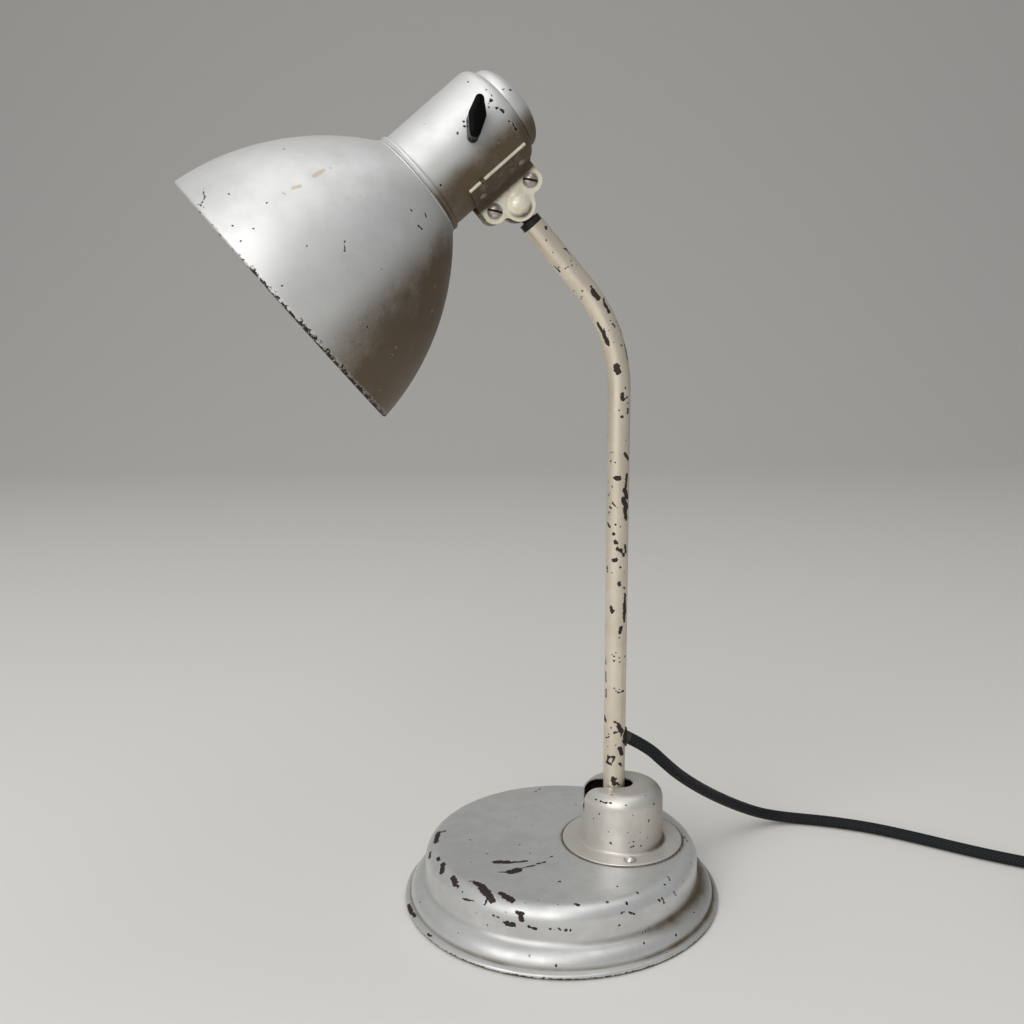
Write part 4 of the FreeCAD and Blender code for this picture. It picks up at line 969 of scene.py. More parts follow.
def makeChipGroup():
    # Field is the distance to the nearest chip; a noise breaks its edge, and specks are sown between
    group, make, given, result = newGroup(
        "paintChips",
        [("Field", 9.0), ("Ragged", 1.6), ("Speck Share", 0.04), ("Speck Size", 0.5), ("Speck Scale", 0.16)],
        ("Chip", "Edge", "Height"))
    place = make.place()
    broad = make.noise(place, 0.55, 4.0, 0.62)
    fine = make.noise(place, 1.9, 3.0, 0.6, 5.0)
    warp = make.plus(broad, make.times(fine, 0.35))
    warp = make.times(make.minus(warp, 0.675), given["Ragged"])
    edge = make.plus(given["Field"], make.times(warp, 2.2))
    distance, chance = make.cells(place, given["Speck Scale"], 3.0)
    gap = make.math("DIVIDE", distance, given["Speck Scale"])
    luck = make.minus(chance, make.minus(1.0, given["Speck Share"]))
    luck = make.math("DIVIDE", luck, given["Speck Share"])
    size = make.times(luck, given["Speck Size"])
    speck = make.plus(make.minus(gap, size), make.times(make.minus(fine, 0.5), 0.7))
    nearest = make.math("MINIMUM", edge, speck)
    chip = make.ramp(nearest, 0.05, -0.05)
    # a ring round each chip that the paint lightens: a painted highlight on the chip's edge
    ring = make.minus(make.ramp(nearest, 0.42, 0.1), chip)
    make.put(result["Chip"], chip)
    make.put(result["Edge"], ring)
    make.put(result["Height"], make.ramp(nearest, -0.12, 0.22))
    return group


def makeMottleGroup():
    # soft cloudy variation of an old coat, with brush drag and fine grain
    group, make, given, result = newGroup(
        "coatMottle",
        [("Cloud Scale", 0.03), ("Grain Scale", 1.2), ("Drag", 0.5)],
        ("Cloud", "Grain", "Height"))
    place = make.place()
    cloud = make.noise(place, given["Cloud Scale"], 5.0, 0.6, 11.0)
    finer = make.noise(place, make.times(given["Cloud Scale"], 5.0), 4.0, 0.6, 2.0)
    stretched = make.tree.nodes.new("ShaderNodeVectorMath")
    stretched.operation = "MULTIPLY"
    make.put(stretched.inputs[0], place)
    stretched.inputs[1].default_value = (1.0, 1.0, 0.14)
    drag = make.noise(stretched.outputs[0], make.times(given["Grain Scale"], 0.5), 3.0, 0.5, 7.0)
    grain = make.noise(place, given["Grain Scale"], 2.0, 0.5)
    mixed = make.plus(make.times(cloud, 0.65), make.times(finer, 0.35))
    make.put(result["Cloud"], make.ramp(mixed, 0.36, 0.66))
    make.put(result["Grain"], grain)
    height = make.plus(make.times(drag, given["Drag"]), make.times(grain, 0.5))
    make.put(result["Height"], height)
    return group


def makeBraidGroup():
    # two sets of slanted strands over and under each other, from the cord's own map in metres
    group, make, given, result = newGroup(
        "braidWeave",
        [("Strand", 1.25), ("Slant", 0.9), ("Thread", 4.0)],
        ("Height", "Shade", "Thread"))
    split = make.tree.nodes.new("ShaderNodeSeparateXYZ")
    cordMap = make.tree.nodes.new("ShaderNodeUVMap")
    cordMap.uv_map = "along"
    make.put(split.inputs[0], cordMap.outputs[0])
    along, around = (make.times(split.outputs[i], 1000.0) for i in (0, 1))
    u = make.math("DIVIDE", along, make.times(given["Strand"], given["Slant"]))
    v = make.math("DIVIDE", around, given["Strand"])
    right, left = make.plus(u, v), make.minus(u, v)
    across = [make.math("SINE", make.times(make.math("FRACT", p), math.pi)) for p in (right, left)]
    parity = make.plus(make.math("FLOOR", right), make.math("FLOOR", left))
    over = make.math("GREATER_THAN", make.math("FRACT", make.times(parity, 0.5)), 0.25)
    under = make.minus(1.0, over)
    height = make.plus(make.times(across[0], over), make.times(across[1], under))
    turns = make.times(given["Thread"], math.tau)
    lines = [make.math("SINE", make.times(p, turns)) for p in (right, left)]
    thread = make.plus(make.times(lines[0], over), make.times(lines[1], under))
    make.put(result["Height"], make.plus(height, make.times(thread, 0.12)))
    make.put(result["Shade"], make.ramp(height, 0.1, 0.85))
    make.put(result["Thread"], make.ramp(thread, -0.6, 1.0))
    return group


chipGroup, mottleGroup, braidGroup = makeChipGroup(), makeMottleGroup(), makeBraidGroup()


def newMaterial(name):
    material = bpy.data.materials.new(name)
    material.use_nodes = True
    tree = material.node_tree
    tree.nodes.clear()
    shader = tree.nodes.new("ShaderNodeBsdfPrincipled")
    end = tree.nodes.new("ShaderNodeOutputMaterial")
    tree.links.new(shader.outputs[0], end.inputs[0])
    return material, shader, Maker(tree)


# Worn silver paint: colours of the coat, its brown patches of dirt and painted shade, its bare chips and the
# painted highlight on the edge of a chip
silver = {"light": (0.66, 0.66, 0.645), "dark": (0.54, 0.536, 0.52), "chip": (0.024, 0.013, 0.010),
          "edge": (0.74, 0.73, 0.68), "edgeShare": 0.35, "metallic": 0.58, "rough": 0.41, "chipRough": 0.35,
          "ragged": 1.2, "speckShare": 0.12, "speckSize": 0.5, "speckScale": 0.25, "cloudScale": 0.022,
          "patch": (0.13, 0.095, 0.058), "primer": (0.50, 0.45, 0.36), "coatBump": (0.10, 0.0002),
          "chipBump": (0.7, 0.00018)}


def makePaint(name, **changes):
    look = {**silver, **changes}
    material, shader, make = newMaterial(name)
    wearAndHighlight = make.group(chipGroup, {"Field": make.field("chipField"), "Ragged": look["ragged"],
                                  "Speck Share": look["speckShare"], "Speck Size": look["speckSize"],
                                  "Speck Scale": look["speckScale"]})
    mottle = make.group(mottleGroup, {"Cloud Scale": look["cloudScale"]})
    coat = make.mix(mottle["Cloud"], look["dark"], look["light"])
    # dirt and painted shade from their field, laid on in the patch colour
    dirtAndShade = make.field("stainField")
    speckled = make.plus(make.times(mottle["Grain"], 0.4), make.times(mottle["Cloud"], 0.7))
    broken = make.ramp(make.plus(dirtAndShade, make.times(speckled, dirtAndShade)), 0.15, 1.5)
    coat = make.mix(broken, coat, look["patch"])
    # painted highlight on each chip's edge
    coat = make.mix(make.times(wearAndHighlight["Edge"], look["edgeShare"]), coat, look["edge"])
    coat = make.mix(make.field("patchField"), coat, look["primer"])
    colour = make.mix(wearAndHighlight["Chip"], coat, look["chip"])
    make.put(shader.inputs["Base Color"], colour)
    coatRough = make.ramp(mottle["Cloud"], 0.0, 1.0, look["rough"] + 0.06, look["rough"] - 0.05)
    rough = make.plus(coatRough, make.times(wearAndHighlight["Chip"], look["chipRough"]))
    make.put(shader.inputs["Roughness"], rough)
    covered = make.minus(1.0, wearAndHighlight["Chip"])
    make.put(shader.inputs["Metallic"], make.times(covered, look["metallic"]))
    normal = make.bump(mottle["Height"], *look["coatBump"])
    make.put(shader.inputs["Normal"], make.bump(wearAndHighlight["Height"], *look["chipBump"], normal))
    return material


def makeMetal(name, light, dark, rough, metallic=1.0, grimeAndShadeColour=(0.03, 0.024, 0.018), grimeAndShade=0.0,
              scale=0.25):
    # metal with cloudy tarnish, fine scratches, and grime and painted shade that gather by its field
    material, shader, make = newMaterial(name)
    mottle = make.group(mottleGroup, {"Cloud Scale": scale, "Grain Scale": 2.5, "Drag": 0.9})
    colour = make.mix(mottle["Cloud"], dark, light)
    gathered = make.field("grimeField")
    uneven = make.plus(make.times(mottle["Cloud"], 0.45), make.times(mottle["Grain"], 0.35))
    darkened = make.ramp(make.plus(gathered, make.times(uneven, gathered)), 0.25, 1.25)
    darkened = make.times(darkened, grimeAndShade)
    make.put(shader.inputs["Base Color"], make.mix(darkened, colour, grimeAndShadeColour))
    plainRough = make.ramp(mottle["Cloud"], 0.0, 1.0, rough + 0.12, rough - 0.06)
    make.put(shader.inputs["Roughness"], make.plus(plainRough, make.times(darkened, 0.3)))
    make.put(shader.inputs["Metallic"], make.times(make.minus(1.0, darkened), metallic))
    make.put(shader.inputs["Normal"], make.bump(mottle["Height"], 0.25, 0.0001))
    return material


def makePlain(name, light, dark, rough, bump=0.1, **sockets):
    # non-metal with slight colour clouding and a fine surface
    material, shader, make = newMaterial(name)
    mottle = make.group(mottleGroup, {"Cloud Scale": 0.4, "Grain Scale": 2.0, "Drag": 0.2})
    make.put(shader.inputs["Base Color"], make.mix(mottle["Cloud"], dark, light))
    make.put(shader.inputs["Roughness"], make.ramp(mottle["Cloud"], 0.0, 1.0, rough + 0.05, rough - 0.03))
    make.put(shader.inputs["Normal"], make.bump(mottle["Height"], bump, 0.0001))
    for socket, value in sockets.items():
        shader.inputs[socket.replace("_", " ")].default_value = value
    return material


# Braid: a strand's width in millimetres, its slant and threads, their colours, and the light on the threads
weaveLook = {"strand": 1.9, "slant": 1.3, "threads": 3.0, "gap": (0.001, 0.001, 0.001),
             "dark": (0.009, 0.010, 0.012), "lit": (0.10, 0.107, 0.12), "litShare": 0.5, "rough": (0.6, 0.36),
             "shine": 0.12, "bump": (1.0, 0.0005)}


def makeBraid():
    material, shader, make = newMaterial("blackBraid")
    weave = make.group(braidGroup, {"Strand": weaveLook["strand"], "Slant": weaveLook["slant"],
                                    "Thread": weaveLook["threads"]})
    dark = make.mix(weave["Shade"], weaveLook["gap"], weaveLook["dark"])
    lit = make.times(make.times(weave["Thread"], weave["Shade"]), weaveLook["litShare"])
    make.put(shader.inputs["Base Color"], make.mix(lit, dark, weaveLook["lit"]))
    make.put(shader.inputs["Roughness"], make.ramp(weave["Thread"], 0.0, 1.0, *weaveLook["rough"]))
    shader.inputs["Specular IOR Level"].default_value = weaveLook["shine"]
    make.put(shader.inputs["Normal"], make.bump(weave["Height"], *weaveLook["bump"]))
    return material


shellPaint = makePaint("silverPaint")
hubPaint = makePaint("hubPaint", light=(0.68, 0.655, 0.61), dark=(0.59, 0.56, 0.51))
shadePaint = makePaint("shadePaint", metallic=0.52, rough=0.52, speckShare=0.02, speckSize=0.45,
                       cloudScale=0.012)
armPaint = makePaint("champagnePaint", light=(0.76, 0.68, 0.57), dark=(0.66, 0.575, 0.46), speckShare=0.35,
                     speckSize=0.7, speckScale=0.35, metallic=0.6, rough=0.33)
nickel = makeMetal("agedNickel", (0.92, 0.88, 0.76), (0.74, 0.67, 0.50), 0.42, metallic=0.3,
                   grimeAndShadeColour=(0.060, 0.036, 0.015), grimeAndShade=0.97, scale=0.3)
rivetMetal = makeMetal("brownedRivet", (0.42, 0.34, 0.29), (0.22, 0.16, 0.13), 0.34, metallic=0.7, scale=0.3)
darkSteel = makeMetal("brownedSteel", (0.20, 0.18, 0.155), (0.085, 0.07, 0.06), 0.42)
blackSteel = makeMetal("blackenedSteel", (0.035, 0.03, 0.026), (0.012, 0.010, 0.009), 0.45, metallic=0.5,
                       scale=0.3)
clampMetal = makeMetal("wornClampScrew", (0.66, 0.62, 0.56), (0.28, 0.24, 0.20), 0.36, metallic=0.8,
                       grimeAndShadeColour=(0.008, 0.006, 0.005), grimeAndShade=1.0, scale=0.3)
brightScrew = makeMetal("wornScrewHead", (0.80, 0.79, 0.74), (0.60, 0.58, 0.52), 0.26, metallic=0.7)
castIron = makeMetal("castIron", (0.11, 0.105, 0.10), (0.06, 0.055, 0.05), 0.62, metallic=0.6)
brass = makeMetal("dullBrass", (0.66, 0.50, 0.24), (0.42, 0.30, 0.13), 0.34)
pinMetal = makeMetal("pinMetal", (0.74, 0.62, 0.38), (0.60, 0.48, 0.26), 0.24)
bulbMetal = makeMetal("capAluminium", (0.74, 0.74, 0.73), (0.60, 0.60, 0.58), 0.3)
bakelite = makePlain("blackResin", (0.005, 0.004, 0.004), (0.003, 0.003, 0.003), 0.24,
                     bump=0.04, Specular_IOR_Level=0.03)
coreRubber = makePlain("coreRubber", (0.035, 0.034, 0.033), (0.02, 0.02, 0.02), 0.6)
woolFelt = makePlain("woolFelt", (0.06, 0.09, 0.065), (0.035, 0.055, 0.04), 0.9, bump=0.8)
frostedGlass = makePlain("frostedGlass", (0.92, 0.92, 0.90), (0.88, 0.88, 0.86), 0.3, bump=0.02)
braid = makeBraid()
print("materials made")


def paint(piece, material):
    piece.data.materials.clear()
    piece.data.materials.append(material)


# Chips, scratches and thin places, as seen: pixels of the photograph along each, then its half width
# in millimetres
chips = {
    "foot": [(436, 842, 438, 833, 1.51), (438, 833, 445, 831, 0.69), (430, 853, 430, 857, 1.07),
             (438, 858, 439, 860, 1.07), (443, 864, 442, 872, 1.51), (453, 878, 455, 883, 1.75),
             (455, 883, 458, 887, 0.87), (468, 881, 474, 881, 0.37), (476, 883, 484, 887, 1.75),
             (482, 888, 487, 893, 2.1), (487, 893, 492, 900, 1.75), (489, 897, 485, 904, 0.69),
             (501, 893, 505, 896, 1.51), (505, 896, 512, 900, 1.75), (517, 912, 523, 914, 0.87),
             (520, 914, 522, 920, 1.28), (503, 922, 508, 922, 0.69), (507, 924, 514, 925, 1.28),
             (529, 927, 536, 929, 0.6), (496, 862, 508, 862, 1.75), (507, 863, 526, 861, 0.87),
             (499, 872, 511, 872, 0.52), (510, 872, 518, 870, 2.27), (518, 869, 535, 865, 0.69),
             (537, 864, 545, 862, 0.69), (551, 857, 553, 856, 0.37), (549, 929, 551, 929, 0.23),
             (554, 930, 556, 930, 0.3), (559, 929, 561, 930, 0.3), (565, 930, 567, 930, 0.44),
             (570, 931, 571, 930, 0.37), (575, 904, 579, 905, 0.69), (622, 913, 624, 912, 0.37),
             (629, 912, 635, 914, 0.52), (658, 900, 660, 901, 0.37), (662, 898, 664, 903, 0.52),
             (643, 930, 643, 934, 0.3), (646, 930, 646, 934, 0.3), (668, 877, 670, 880, 0.37),
             (674, 892, 676, 896, 0.37), (535, 792, 540, 789, 0.37), (684, 837, 687, 841, 0.44),
             (408, 906, 411, 912, 1.51), (411, 912, 415, 916, 1.07), (463, 899, 474, 901, 0.37),
             (428, 934, 431, 936, 0.69), (492, 915, 500, 918, 0.23), (516.2, 817.5, 0.69),
             (532.7, 824.8, 0.37), (470.4, 839.8, 0.6), (519.6, 844.7, 0.37), (529.8, 853.2, 0.44),
             (487.4, 853.7, 0.52), (471.4, 862, 0.37), (559.8, 881.3, 0.78), (617.5, 886.6, 0.44),
             (637.6, 892.7, 0.78), (627.2, 903.6, 0.87), (606.9, 902, 0.69), (558, 904.8, 0.44),
             (538.3, 900.2, 0.37), (525.4, 902.4, 0.44), (506, 912, 0.44), (555.7, 918.9, 0.37),
             (664.8, 884.7, 0.52), (683, 881.3, 0.52), (691, 862.4, 0.44), (693.9, 912, 0.44),
             (676.2, 935.1, 0.69), (644.2, 943, 0.52), (619.2, 925.4, 0.52), (640, 916.2, 0.52),
             (529.5, 955.7, 0.44), (556.2, 966, 0.52), (458, 933.2, 0.44), (420.5, 902, 0.37),
             (438.2, 906.5, 0.37), (462.4, 891.5, 0.37), (476.5, 913.3, 0.37), (500, 797.4, 0.37),
             (575.8, 804.5, 0.37), (560, 834.5, 0.44)],
    "hub": [(594, 799, 598, 800, 0.3), (600, 801, 604, 802, 0.25), (606, 803, 611, 803, 0.35),
            (633, 842, 637, 841, 0.29), (631, 847, 634, 846, 0.22), (590.4, 790.2, 0.5), (611.5, 795, 0.42),
            (645.4, 795.7, 0.57), (653.9, 804.2, 0.57), (626, 805.7, 0.35), (635.7, 799.4, 0.29),
            (649, 820.5, 0.65), (633.3, 815.9, 0.42), (599.3, 813.9, 0.29), (609, 832, 0.35),
            (610.7, 843.5, 0.57), (627.7, 832.8, 0.42), (640, 832.8, 0.29), (640.5, 846.1, 0.42),
            (647.3, 837.2, 0.42), (629.6, 843, 0.35)],
    "arm": [(546, 227.5, 0.9), (562.6, 248.9, 566, 249, 0.35), (566, 249, 569.7, 254.5, 0.4),
            (554, 266, 560, 272, 0.4), (565.4, 268.6, 0.4), (568.2, 267.2, 0.35), (572.2, 265.8, 0.4),
            (576.7, 264.9, 0.4), (575, 272.5, 0.45), (574, 291, 0.4), (581, 298.7, 0.45), (585, 307, 0.3),
            (590.8, 286, 593, 290, 0.6), (593, 291, 598, 298, 1.4), (603.5, 299, 605, 304, 0.7),
            (605, 304, 609, 311.5, 1), (598, 324, 602, 332, 0.9), (603, 332, 607.5, 344, 1.2),
            (613, 324, 615, 327, 0.45), (614, 342.5, 0.6), (609, 330.6, 0.35), (617, 321.6, 622, 334, 0.4),
            (624.7, 345, 627.5, 360, 0.45), (617, 367, 617.7, 372, 1.7), (611, 366, 0.35),
            (622.5, 394, 622.5, 399, 1), (626, 388, 0.5), (627, 397.6, 0.7), (624.8, 398.7, 0.4),
            (628, 403.5, 0.6), (628, 409, 628, 413, 0.7), (622, 416.8, 0.95), (610, 409.7, 0.45),
            (619, 410, 0.4), (607.6, 435, 0.5), (610.6, 453, 0.65), (613.5, 452.5, 0.35),
            (610.6, 461, 0.55), (625, 454, 628, 458.7, 0.9), (616, 478.4, 619, 478, 1.3), (612, 487, 0.4),
            (627, 475, 626, 486, 0.9), (625, 490, 627, 497, 1.5), (624, 500, 626.5, 507, 1.6),
            (625, 508, 626, 518, 1.3), (612, 502, 617, 508, 0.3), (609, 506, 610.5, 508, 0.45),
            (607.5, 523, 609.5, 527, 0.65), (613.3, 534, 1.1), (615, 541.5, 616, 543, 1),
            (617, 549, 621, 551, 1), (621, 551, 623.6, 555.5, 0.8), (625, 545, 625.8, 552, 0.8),
            (614, 560.5, 616, 560, 1.1), (607, 567.6, 0.9), (607.5, 571.5, 0.5), (612, 573, 0.5),
            (624.5, 571.5, 0.5), (619, 583, 619.5, 585, 0.85), (623, 587, 625, 588, 0.4),
            (625, 594, 625, 602, 0.9), (624.5, 603, 625, 613, 1.2), (624, 614, 624.5, 621, 0.8),
            (611, 608, 612, 612, 1), (612, 609, 613.5, 611, 0.6), (621, 628, 620, 633, 1), (622, 626, 0.4),
            (613.5, 661, 0.55), (615.5, 660.5, 0.3), (620, 662, 0.4), (624, 666, 0.4), (612, 655, 0.25),
            (616, 653, 0.25), (616, 691, 619, 693, 0.4), (619, 693, 623.5, 690.5, 0.4),
            (605.7, 658, 606, 664, 0.35), (605.7, 672, 606, 683, 0.4), (606, 690, 606, 697, 0.5),
            (604.9, 717, 605, 720, 0.8), (605, 716, 606, 721, 0.68), (614, 722, 619, 724, 0.51),
            (619, 727, 622, 732, 1.25), (618, 732, 614, 733, 0.51), (606, 738, 609, 737, 0.44),
            (622, 740, 624, 743, 0.51), (620, 748, 622, 754, 1.25), (608, 756, 607, 762, 0.68),
            (607, 762, 610, 764, 1.04), (610, 757, 615, 757, 0.68), (614, 758, 612, 763, 0.36),
            (619, 763, 621, 765, 0.68), (612, 778, 616, 779, 0.85), (613, 779, 614, 784, 1.25),
            (617, 783, 619, 785, 0.51), (615.6, 745, 0.44), (621, 736, 0.44), (611, 728, 0.36)],
    "shade": [(205, 185, 203, 191, 0.12), (203, 191, 205, 197, 0.15), (205, 197, 201, 205, 0.3),
              (198, 204, 204, 207, 0.2), (425, 213, 426, 217, 0.5), (411, 209, 412, 212, 0.35),
              (418, 226, 422, 229, 0.3), (345, 246, 345, 251, 0.3), (432, 312, 432, 320, 0.5),
              (284, 149, 0.4), (267, 203, 0.3), (334, 209, 0.3), (345, 241, 0.4), (382, 269, 0.3),
              (282, 286, 0.3), (367, 327, 0.55), (391, 356, 0.7), (432, 317, 0.7), (431, 250, 0.3),
              (435, 287, 0.3), (347, 369, 0.3), (333, 357, 0.3), (349, 361, 0.3), (381, 390, 0.3),
              (319, 346, 0.3), (241, 241, 0.3), (254, 229, 0.3), (233, 226, 0.3), (229, 194, 0.3),
              (307, 246, 0.3), (349, 198, 0.3), (360, 196, 0.3)],
    "scratch": [(242, 192, 250, 208, -0.1), (250, 208, 262, 226, -0.12), (262, 226, 275, 237, -0.1),
                (275, 237, 282, 249, -0.12)],
    "primer": [(314, 176, 321, 172, 1), (321, 171, 324, 170, 0.6), (293, 188, 300, 186, 0.8),
               (283, 193, 285, 194, 0.45), (330, 168, 331, 168, 0.45)],
    "neck": [(501, 109, 503, 112, 0.47), (513, 124, 515, 128, 0.58), (515, 128, 517, 131, 0.7),
             (480.4, 85.8, 0.37), (486, 90, 0.37), (489.4, 93.3, 0.22), (491.9, 95.8, 0.31),
             (491.5, 100.2, 0.88), (488.8, 103.4, 0.31), (488.9, 107, 0.42), (497.2, 107.6, 0.7),
             (505.5, 113.7, 0.26), (509.2, 121, 0.42), (517.5, 135.2, 0.37), (464.1, 122, 0.42),
             (464.1, 126.6, 0.53), (457.8, 133, 0.58), (424.5, 123.7, 0.26), (441.2, 185.1, 0.7),
             (498.6, 143.2, 0.42), (468.2, 81.8, 0.17)],
    "cap": [(503.8, 89.6, 0.31), (510.3, 89.9, 0.7), (519.5, 119.2, 0.31), (522, 128, 0.26)],
}
chipLook = {"far": 9.0, "near": 1.6, "fine": 0.55, "longest": 25, "primerEdge": (-0.3, 0.15)}


def seenPoint(tree, x, y):
    # where the camera's line through a pixel meets a piece, in millimetres
    scale = camera["sensor"] / camera["lens"] / camera["pixels"]
    middle = camera["pixels"] / 2
    way = ahead + cameraRight * ((x - middle) * scale) + cameraUp * ((middle - y) * scale)
    hit = tree.ray_cast(Vector(camera["place"]), way.normalized())[0]
    return None if hit is None else np.array(hit)


def strokesOn(piece, strokes):
    # both ends of each stroke on the piece's surface
    tree = BVHTree.FromPolygons([Vector(p) for p in localPoints(piece, world)],
                                [list(f.vertices) for f in piece.data.polygons])
    placed = []
    for *pixels, half in strokes:
        ends = [seenPoint(tree, *pixels[i:i + 2]) for i in (0, len(pixels) - 2)]
        if any(end is None for end in ends) or np.linalg.norm(ends[1] - ends[0]) > chipLook["longest"]:
            print("left out on", piece.name, pixels)
        else:
            placed.append((ends[0], ends[1], half))
    return placed


def strokeField(points, placed):
    field = np.full(len(points), chipLook["far"])
    for start, end, half in placed:
        way = end - start
        share = np.clip((points - start) @ way / max(way @ way, 1e-6), 0, 1)
        field = np.minimum(field, np.linalg.norm(points - (start + share[:, None] * way), axis=1) - half)
    return field


def rise(values, low, high):
    # from nought below the low value, smoothly, to one above the high value
    share = np.clip((values - low) / (high - low), 0, 1)
    return share * share * (3 - 2 * share)


def hump(values, middle, width):
    # one in the middle, and less and less away from it
    return np.exp(-((values - middle) / width) ** 2)


def addChips(piece, strokes, rimField, thinStrokes):
    # the mesh is made finer round each chip, then each vertex gets its distance to the nearest one,
    # and how far the coat is worn thin there
    placed, thin = strokesOn(piece, strokes), strokesOn(piece, thinStrokes)
    for halving in range(2):
        near = strokeField(localPoints(piece, world), placed + thin) < chipLook["near"]
        bm = bmesh.new()
        bm.from_mesh(piece.data)
        bm.verts.ensure_lookup_table()
        long = [e for e in bm.edges if e.calc_length() > chipLook["fine"] * mm]
        edges = [e for e in long if any(near[v.index] for v in e.verts)]
        bmesh.ops.subdivide_edges(bm, edges=edges, cuts=1, use_grid_fill=True)
        bm.to_mesh(piece.data)
        bm.free()
    smooth(piece)
    points = localPoints(piece, world)
    field = strokeField(points, placed)
    if rimField is not None:
        field = np.minimum(field, rimField(points))
    storeField(piece, "chipField", field)
    storeField(piece, "patchField", rise(-strokeField(points, thin), *chipLook["primerEdge"]))


# Bare metal, and painted shade inside the hub and under the foot's rim: how far it reaches in millimetres,
# and the chip field there, which gives the chip colour below nought
bareAndShaded = {"footIn": 2.6, "footLevel": 1.35, "footSlope": 0.7, "footField": (-0.3, 0.72), "hubDepth": 0.6,
        "hubField": -1.5, "shadeUp": 3.6, "shadeSide": (-55, 20), "shadeField": 0.25, "shadeLower": 0.60,
        "shadeSlope": 0.25}


def footRim(points):
    # the rolled rim is dark below, worn paint together with a painted contact shadow, and has some wear all
    # round
    radius = np.hypot(points[:, 0], points[:, 1])
    field = np.clip((points[:, 2] - bareAndShaded["footLevel"]) * bareAndShaded["footSlope"], *bareAndShaded["footField"])
    return np.where(radius > foot["radius"] - bareAndShaded["footIn"], field, chipLook["far"])


def hubInside(points):
    # the inside of the hub is given the near-black chip colour: painted shade in the hollow
    out = np.hypot(points[:, 0] - hub["middle"], points[:, 1]) - hub["radius"] + hub["shoulder"]
    up = points[:, 2] - hub["top"] + hub["shoulder"]
    depth = np.where((out > 0) & (up > 0), np.hypot(out, up), np.maximum(out, up)) - hub["shoulder"]
    return np.where(depth < -bareAndShaded["hubDepth"] * hub["thick"], bareAndShaded["hubField"], chipLook["far"])


def shadeRim(points):
    # the rolled edge is worn bare, most where it looks down
    fromHead = points - np.array(headFrame.translation)
    along = fromHead @ np.array(headFrame.col[2][:3])
    low = rise(fromHead @ np.array(headFrame.col[0][:3]), *bareAndShaded["shadeSide"])
    field = bareAndShaded["shadeField"] - bareAndShaded["shadeLower"] * low + bareAndShaded["shadeSlope"] * along
    return np.where(along < bareAndShaded["shadeUp"], field, chipLook["far"])


# Dirt and painted shade: a strength, or a strength with where it starts and where it is full, in the piece's
# own frame
dirtAndShadeLevels = {"neckSide": (1.0, -4, 15), "shadeSide": (0.9, 0, 48), "shadeNeck": (0.4, 12, 40),
        "capSide": (0.95, 0, 15), "hubSide": (0.5, 3, 21), "footSide": (0.3, -20, 70),
        "footRight": (0.4, 25, 80), "armSide": (0.5, 3.4, 5.5), "besideStrap": 0.8, "hubCorner": 0.35,
        "screwRing": 0.8, "footGroove": 0.6, "footWaist": 0.3, "strap": (0.62, -31.5, -27.0),
        "strapBend": (0.25, -37, -30), "strapFoot": 0.5, "bulgeRing": 0.6, "bulgeSide": (0.5, -1, 5)}


def cast(values, name):
    # darkening that grows along an axis
    strength, low, high = dirtAndShadeLevels[name]
    return strength * rise(values, low, high)


def neckDirtAndShade(points):
    # dirt beside the strap, and painted warm shade on the side that looks down
    angle = np.abs(np.degrees(np.arctan2(points[:, 1], points[:, 0])))
    beside = hump(angle, plate["strapEnd"], 27) * (angle > plate["strapEnd"] - 8)
    level = np.abs(points[:, 2] - head["ballAlong"] - 2)
    beside *= rise(-level, -plate["width"] * 0.62, -plate["width"] * 0.40)
    return np.maximum(dirtAndShadeLevels["besideStrap"] * beside, cast(points[:, 0], "neckSide"))


def shadePaintedShade(points):
    # painted shade: the side that looks down is darkened brown, most towards the neck
    low = cast(points[:, 0], "shadeSide") + cast(points[:, 0], "shadeNeck") * rise(points[:, 2], 15, 70)
    return low * (0.35 + 0.65 * rise(-points[:, 1], -50, 0))


def capPaintedShade(points):
    # painted shade: the side that looks down is darkened brown
    return cast(points[:, 0], "capSide")


def hubPaintedShade(points):
    # painted shade: the side away from the light, the corner at the flange, and a ring round each screw
    radius = np.hypot(points[:, 0], points[:, 1])
    side = cast(points[:, 0], "hubSide") * rise(-radius, -25, -22.5)
    dirtAndShade = dirtAndShadeLevels["hubCorner"] * rise(-radius, -hub["radius"] - 2.2, -hub["radius"] - 0.3)
    dirtAndShade *= rise(-points[:, 2], -34.5, -31.2)
    for x, y in hubSpots():
        away = np.hypot(points[:, 0] - x, points[:, 1] - y)
        dirtAndShade = np.maximum(dirtAndShade, dirtAndShadeLevels["screwRing"] * hump(away, hubScrew["head"] + 0.2, 0.6))
    return side + dirtAndShade


def footPaintedShade(points):
    # painted shade in the groove above the rim, in the waist and round the flange, more of it to the right,
    # away from the light
    radius = np.hypot(points[:, 0], points[:, 1])
    groove = dirtAndShadeLevels["footGroove"] * hump(radius, foot["groove"][0], 1.2) * rise(-points[:, 2], -7, -4)
    waist = hump(points[:, 2], 12.4, 2.2) * rise(radius, 70, 73)
    waist *= dirtAndShadeLevels["footWaist"] + cast(points[:, 0], "footSide")
    right = cast(points[:, 0], "footRight") * rise(-points[:, 2], -26, -16)
    gap = np.hypot(points[:, 0] - hub["middle"], points[:, 1]) - hub["flange"]
    flangeRing = (0.65 * hump(gap, 0.3, 0.85) + 0.25 * hump(gap, 1, 3)) * rise(points[:, 2], 26, 28)
    return groove + waist + right + flangeRing


def armPaintedShade(points):
    # painted shade: the straight leg is darkened on its right
    return cast(points[:, 0], "armSide")


